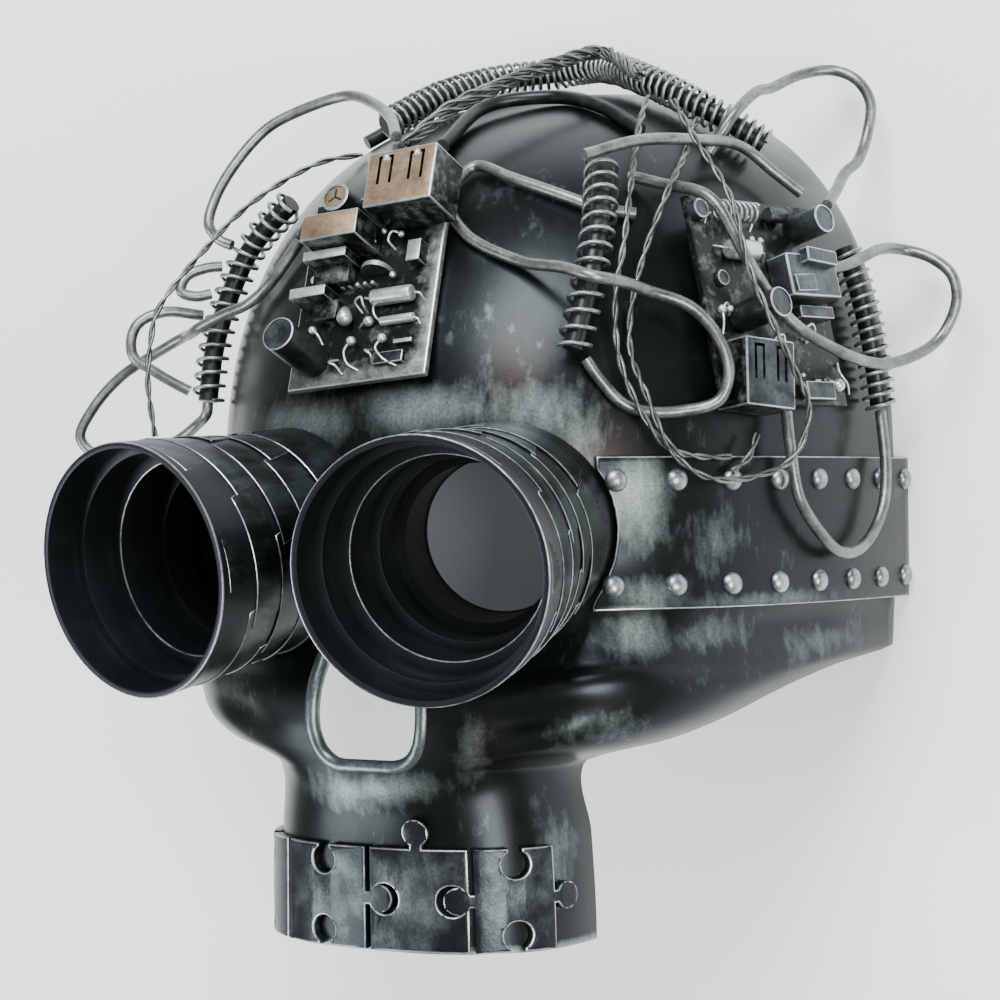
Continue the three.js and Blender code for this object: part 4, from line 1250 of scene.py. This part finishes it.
def makeFrontBoard():
    bm = bmesh.new()
    addBlock(bm, 0, 3.5, 38, 50, 0, plateThick, lacquer, lacquer, 0.4)
    bmesh.ops.subdivide_edges(bm, edges=bm.edges[:], cuts=6, use_grid_fill=True)
    addBlock(bm, -9, 10, 12, 2.4, into, 9, lacquer, bright, 0.2)
    addBlock(bm, -9, 6.5, 10, 5, into, 5, lacquer, lacquer, 0.25, rim=lacquer)
    addBlock(bm, -13, 1, 10, 2.6, into, 8, lacquer, bright, 0.2)
    addBlock(bm, -9.6, -2.6, 6.5, 5, into, 4.4, lacquer, lacquer, 0.25, rim=lacquer)
    addBlock(bm, 13.4, 9.7, 3.6, 5.5, into, 5, lacquer, bright, 0.2)
    addLying(bm, 8.3, -0.8, 3.3, 2, 11)
    addLying(bm, 10, -6.8, 2.4, 1.1, 9)
    addBall(bm, -3.9, -5.3, 4, 1.9, tip=0.55)
    beads = [
        (2.3, -6.5, 2.9, 1.25), (-1.3, -11.5, 3.6, 1.15), (7.3, -11.9, 3.6, 1.15), (-14.5, 6.4, 3.4, 1.1),
        (-13.2, -6.8, 3, 1), (3.8, 16.5, 4, 0.7), (1.4, 14.2, 4, 0.5), (8.8, 15, 4, 0.8), (7.3, 5, 3, 0.8),
    ]
    for bead in beads:
        addBall(bm, *bead)
    for pin in range(5):
        addBlock(bm, -7 + 2.1 * pin, 4.1, 0.8, 0.8, into + 0.1, 2.7, bright, bright, 0.12, rim=bright)
    addBlock(bm, 9, -16.5, 8, 3, into, 2.8, plated, plated, 0.25)
    addBlock(bm, 12.3, -12.6, 5, 1.1, into + 0.2, 2.6, plated, bright, 0.15)
    # half of a disc on its edge
    disc = bmesh.new()
    bmesh.ops.create_cone(disc, cap_ends=True, segments=48, radius1=4, radius2=4, depth=1.3)
    bmesh.ops.bisect_plane(disc, geom=disc.verts[:] + disc.edges[:] + disc.faces[:], plane_co=(0, 0, 0),
                           plane_no=(0, -1, 0), clear_outer=True)
    bmesh.ops.holes_fill(disc, edges=[e for e in disc.edges if e.is_boundary], sides=0)
    for face in disc.faces:
        face.material_index = bright if abs(face.normal.z) < 0.5 else plated
    disc.transform(Matrix.Translation((1.8, 7, plateThick)) @ Matrix.Rotation(math.radians(78), 4, "X"))
    joinTo(bm, disc)
    finishBoard("boardForehead", bm, frontPlace, ["board_forehead"], plateWear)

    makeSocket("socketForehead", "socket_forehead", frontPlace, *socketSpot, *frontSocket, onPlate,
               socketTop, tan, "bronze")
    bm = bmesh.new()
    for across in (-4.25, 4.25):
        addBall(bm, socketSpot[0] + across, socketSpot[1] + 5.2, socketTop - 0.1, 0.9)
    finishBoard("socketForeheadBeads", bm, frontPlace, ())
    bm = bmesh.new()
    addBlock(bm, -6, 15.3, 15.5, 6.7, onPlate, 13, lacquer, tan, 0.35)
    finishBoard("connectorForehead", bm, frontPlace, ["connector_forehead"])
    bm = bmesh.new()
    addCan(bm, -7.7, 24.6, 3.7, onPlate, 10, plated, tan, 0.8)
    addVent(bm, -7.7, 24.6, 10, 2.1)
    finishBoard("capacitorForeheadTop", bm, frontPlace, ["capacitor_forehead_top"])
    bm = bmesh.new()
    addCan(bm, -12.5, -14.5, 4.2, onPlate, 17, plastic, plated, 0.35)
    addVent(bm, -12.5, -14.5, 17, 1.3)
    finishBoard("capacitorForeheadLow", bm, frontPlace, ["capacitor_forehead_low"])
    addLeads("leadsForehead", frontPlace, [
        [(-1.3, -11.5, 3.6), (-3, -13.5, 3.4), (-2.4, -16.5, 2.6), (0.5, -18.5, 1.5)],
        [(7.3, -11.9, 3.6), (5.8, -14, 3.6), (8, -17, 3), (11, -18.6, 1.6)],
        [(-14.5, 6.4, 3.4), (-14.9, 4.6, 3), (-14.8, 2.6, 1.6)],
        [(-13.2, -6.8, 3), (-11.8, -8, 2.8), (-10.6, -10.4, 1.6)],
        [(2.3, -6.5, 3), (0.8, -6.9, 2.8), (-0.8, -7.2, 1.6)],
        [(5.3, -6.8, 2.4), (4.2, -5.4, 3.6), (3.6, -3.4, 3.6), (2.6, -1.4, 1.6)],
        [(14.4, -6.8, 2.4), (15.6, -7.4, 2.2), (16, -8.4, 1.5)],
        [(2.2, -0.8, 3.3), (0.6, -0.4, 3.2), (0, 0.6, 1.5)],
        [(14.4, -0.8, 3.3), (15.8, -1.2, 3.2), (16.2, -2.2, 1.5)],
        [(-0.6, -3.4, 1.6), (-1.2, -1.6, 4.4), (0.6, -0.9, 5), (1.1, -2.6, 4.4), (0.9, -3.6, 1.6)],
        [(8.8, 15, 4), (6.6, 15.8, 4.6), (5.6, 13.8, 4.4), (6.2, 12.4, 1.6)],
        [(3.4, -13.6, 1.6), (3.2, -14.6, 3.8), (4.6, -15.6, 3.6), (4.2, -17, 1.6)],
        [(-5.6, -15, 1.6), (-6.6, -16.4, 3.8), (-4.8, -17.4, 3.6), (-3.8, -19, 1.6)],
    ])


def sideWear(point):
    return 0.3 if point.z < plateThick + 0.1 else 0.4


def makeSideBoard():
    bm = bmesh.new()
    addBlock(bm, -4, 0.5, 44, 50, 0, plateThick, lacquer, lacquer, 0.3, rim=lacquer)
    bm.transform(layDown @ sidePlace)
    # the socket's foot stands in a notch of the board
    room = bmesh.new()
    gap = 2 * skull["fitGap"]
    addBlock(room, 0, 0, sideSocket[0] + gap, sideSocket[1] + gap, -15, 15, edge=0)
    room.transform(layDown @ standPlace)
    mesh = cutAway(linked("boardBlank", toMesh("boardBlank", bm)), addCutter(room))
    repaint(mesh, boardPaints)
    evenSilver(mesh, 0.25)
    finishPiece("boardTemple", mesh, ["board_temple"], 35)

    bm = bmesh.new()
    addBlock(bm, 9.3, -2.3, 12, 3, into, 5, plated, plated, 0.3)
    addBlock(bm, 6.3, -21.5, 10, 4.5, into, 4, plated, plated, 0.35)
    addLying(bm, -12, 12.3, 3.8, 2.4, 9.7)
    addLying(bm, 3, 22, 3.2, 1.8, 6, plated)
    addLying(bm, -7.4, 12.3, 3.8, 1.9, 1.2, plastic)
    beads = [
        (13.7, -20, 3.3, 1.6), (9.8, -18.9, 2.8, 1.2, plated), (-22, -2.4, 2.8, 1.1), (-19.4, -2.2, 2.8, 0.9),
        (-4.2, 15.2, 3, 0.8), (-7.2, 15.4, 3, 0.8), (2.2, -17.6, 2.6, 0.6), (-6, -9.4, 4.4, 1.2, plated),
    ]
    for bead in beads:
        addBall(bm, *bead)
    addCan(bm, -23, 22, 2.4, into, 3.4, plated, plated, 0.4, 0.1)
    addCan(bm, -19, 5.6, 1.9, into, 2.6, plastic, plastic, 0.3, 0.1)
    finishBoard("partsTemple", bm, sidePlace, (), sideWear)

    bm = bmesh.new()
    addBlock(bm, 7, 5.8, 17.5, 10.5, onPlate, 8, plated, plated, 0.45)
    addBlock(bm, 8.5, 9.9, 10.5, 3.6, 7.8, 10.5, plated, plated, 0.35, turn=-5)
    addBlock(bm, 3, 3.6, 7, 4.2, 7.8, 8.7, plated, plated, 0.25, turn=4)
    finishBoard("connectorTemple", bm, sidePlace, ["connector_temple"], lambda point: 0.55)
    bm = bmesh.new()
    addCan(bm, 11.5, 19.3, 3.5, onPlate, 11, plated, plated, 0.45)
    finishBoard("capacitorTempleTop", bm, sidePlace, ["capacitor_temple_top"], lambda point: 0.5)
    bm = bmesh.new()
    addCan(bm, -15.3, -4, 3.6, onPlate, 15, plastic, plated, 0.4)
    finishBoard("capacitorTempleLow", bm, sidePlace, ["capacitor_temple_low"])
    makeSocket("socketTemple", "socket_temple", standPlace, 0, 0, *sideSocket, skull["fitGap"], 11, plated,
               "gunmetal")
    start, end = Vector((-19.2, 21.3, 4.8)), Vector((-6.4, 21.3, 4.8))
    axis = [sidePlace @ start.lerp(end, i / 240) for i in range(241)]
    addTube("coilTemple", [helixRoute(axis, 2.2, 7)], 0.42, "springWire", ["coil_temple"],
            sides=2, silverAndHighlight=0.6)
    addLeads("leadsTemple", sidePlace, [
        [(-22, -2.4, 2.8), (-22.4, -5, 3), (-22.6, -9, 1.6)],
        [(-22, -2.4, 2.8), (-20.8, -1, 3.4), (-19.4, -2.2, 2.8), (-18.6, -3.4, 1.6)],
        [(-6.8, 12.3, 3.8), (-4.6, 11.8, 3.6), (-2.9, 10.6, 1.6)],
        [(-17, 12.3, 3.8), (-18.6, 12.6, 3.6), (-19.4, 13.6, 1.5)],
        [(-19.3, 21.3, 2.6), (-20.4, 20.6, 2), (-20.8, 19, 1.4)],
        [(-6.3, 21.3, 2.6), (-5.2, 19.6, 2.4), (-5.4, 18, 1.4)],
        [(13.7, -20, 3.3), (11.6, -19, 3.2), (9.8, -18.9, 2.8), (7.8, -18.4, 1.5)],
        [(5.4, -8.4, 1.6), (4.2, -6.6, 4.6), (6.2, -5.6, 5.2), (7.6, -7.4, 4.2), (6.8, -9.2, 1.6)],
        [(-9, -12.8, 1.6), (-8.4, -9.6, 5.4), (-5.6, -8.8, 5.6), (-5, -11.6, 4.4), (-6.4, -12.8, 1.6)],
        [(17, -14, 1.6), (15.6, -16.4, 2.8), (17.4, -19.4, 3), (19.6, -21.4, 1.2)],
    ])


makeFrontBoard()
makeSideBoard()
print("boards made")


# studio
camera = {"azimuth": 29.1, "distance": 579, "across": 27.56, "height": 103, "roll": -0.7, "lens": 90}


def makeCamera():
    azimuth, roll = math.radians(camera["azimuth"]), math.radians(camera["roll"])
    back = Vector((math.sin(azimuth), -math.cos(azimuth), 0))
    right = Vector((math.cos(azimuth), math.sin(azimuth), 0))
    up = Vector((0, 0, 1))
    target = right * camera["across"] + up * camera["height"]
    rolledRight = right * math.cos(roll) + up * math.sin(roll)
    rolledUp = up * math.cos(roll) - right * math.sin(roll)
    turn = layDown.to_3x3() * (1 / mm)
    axes = Matrix((turn @ rolledRight, turn @ rolledUp, turn @ back)).transposed().to_4x4()
    axes.translation = placed(target + back * camera["distance"])
    data = bpy.data.cameras.new("camera")
    data.lens = camera["lens"]
    data.sensor_width = 36
    data.clip_start = 0.01
    eyePoint = linked("camera", data)
    eyePoint.matrix_world = axes
    bpy.context.scene.camera = eyePoint


lights = {
    # name: place, aim and size in metres, strength in watts, colour
    "topBox": ((0.15, 0.55, 0.75), (0, -0.1, 0.1), 0.5, 16, "#f4fbff"),
    "frontBox": ((0.75, -0.25, 0.75), (0, -0.1, 0.1), 0.35, 9, "#ffffff"),
    "lowBox": ((-0.55, -0.45, 0.7), (0, -0.1, 0.1), 0.4, 6, "#f4fbff"),
}


def makeLights():
    for name, (place, aim, size, strength, colour) in lights.items():
        data = bpy.data.lights.new(name, "AREA")
        data.size = size
        data.energy = strength
        data.color = toLinear(colour)[:3]
        lamp = linked(name, data)
        lamp.location = place
        lamp.rotation_euler = (Vector(aim) - Vector(place)).to_track_quat("-Z", "Y").to_euler()
    world = bpy.data.worlds.new("studio")
    world.use_nodes = True
    world.node_tree.nodes["Background"].inputs["Color"].default_value = (1, 1, 1, 1)
    world.node_tree.nodes["Background"].inputs["Strength"].default_value = 0.4
    bpy.context.scene.world = world


def makeFloor():
    material = bpy.data.materials.new("floorPaper")
    material.use_nodes = True
    shader = material.node_tree.nodes["Principled BSDF"]
    shader.inputs["Base Color"].default_value = toLinear("#f2f3f3")
    shader.inputs["Roughness"].default_value = 0.9
    shader.inputs["Emission Color"].default_value = (1, 1, 1, 1)
    shader.inputs["Emission Strength"].default_value = 0.35
    bm = bmesh.new()
    bmesh.ops.create_grid(bm, x_segments=1, y_segments=1, size=3)
    mesh = toMesh("floor", bm)
    mesh.materials.append(material)
    floor = linked("floor", mesh)


makeCamera()
makeLights()
makeFloor()
print("studio made")
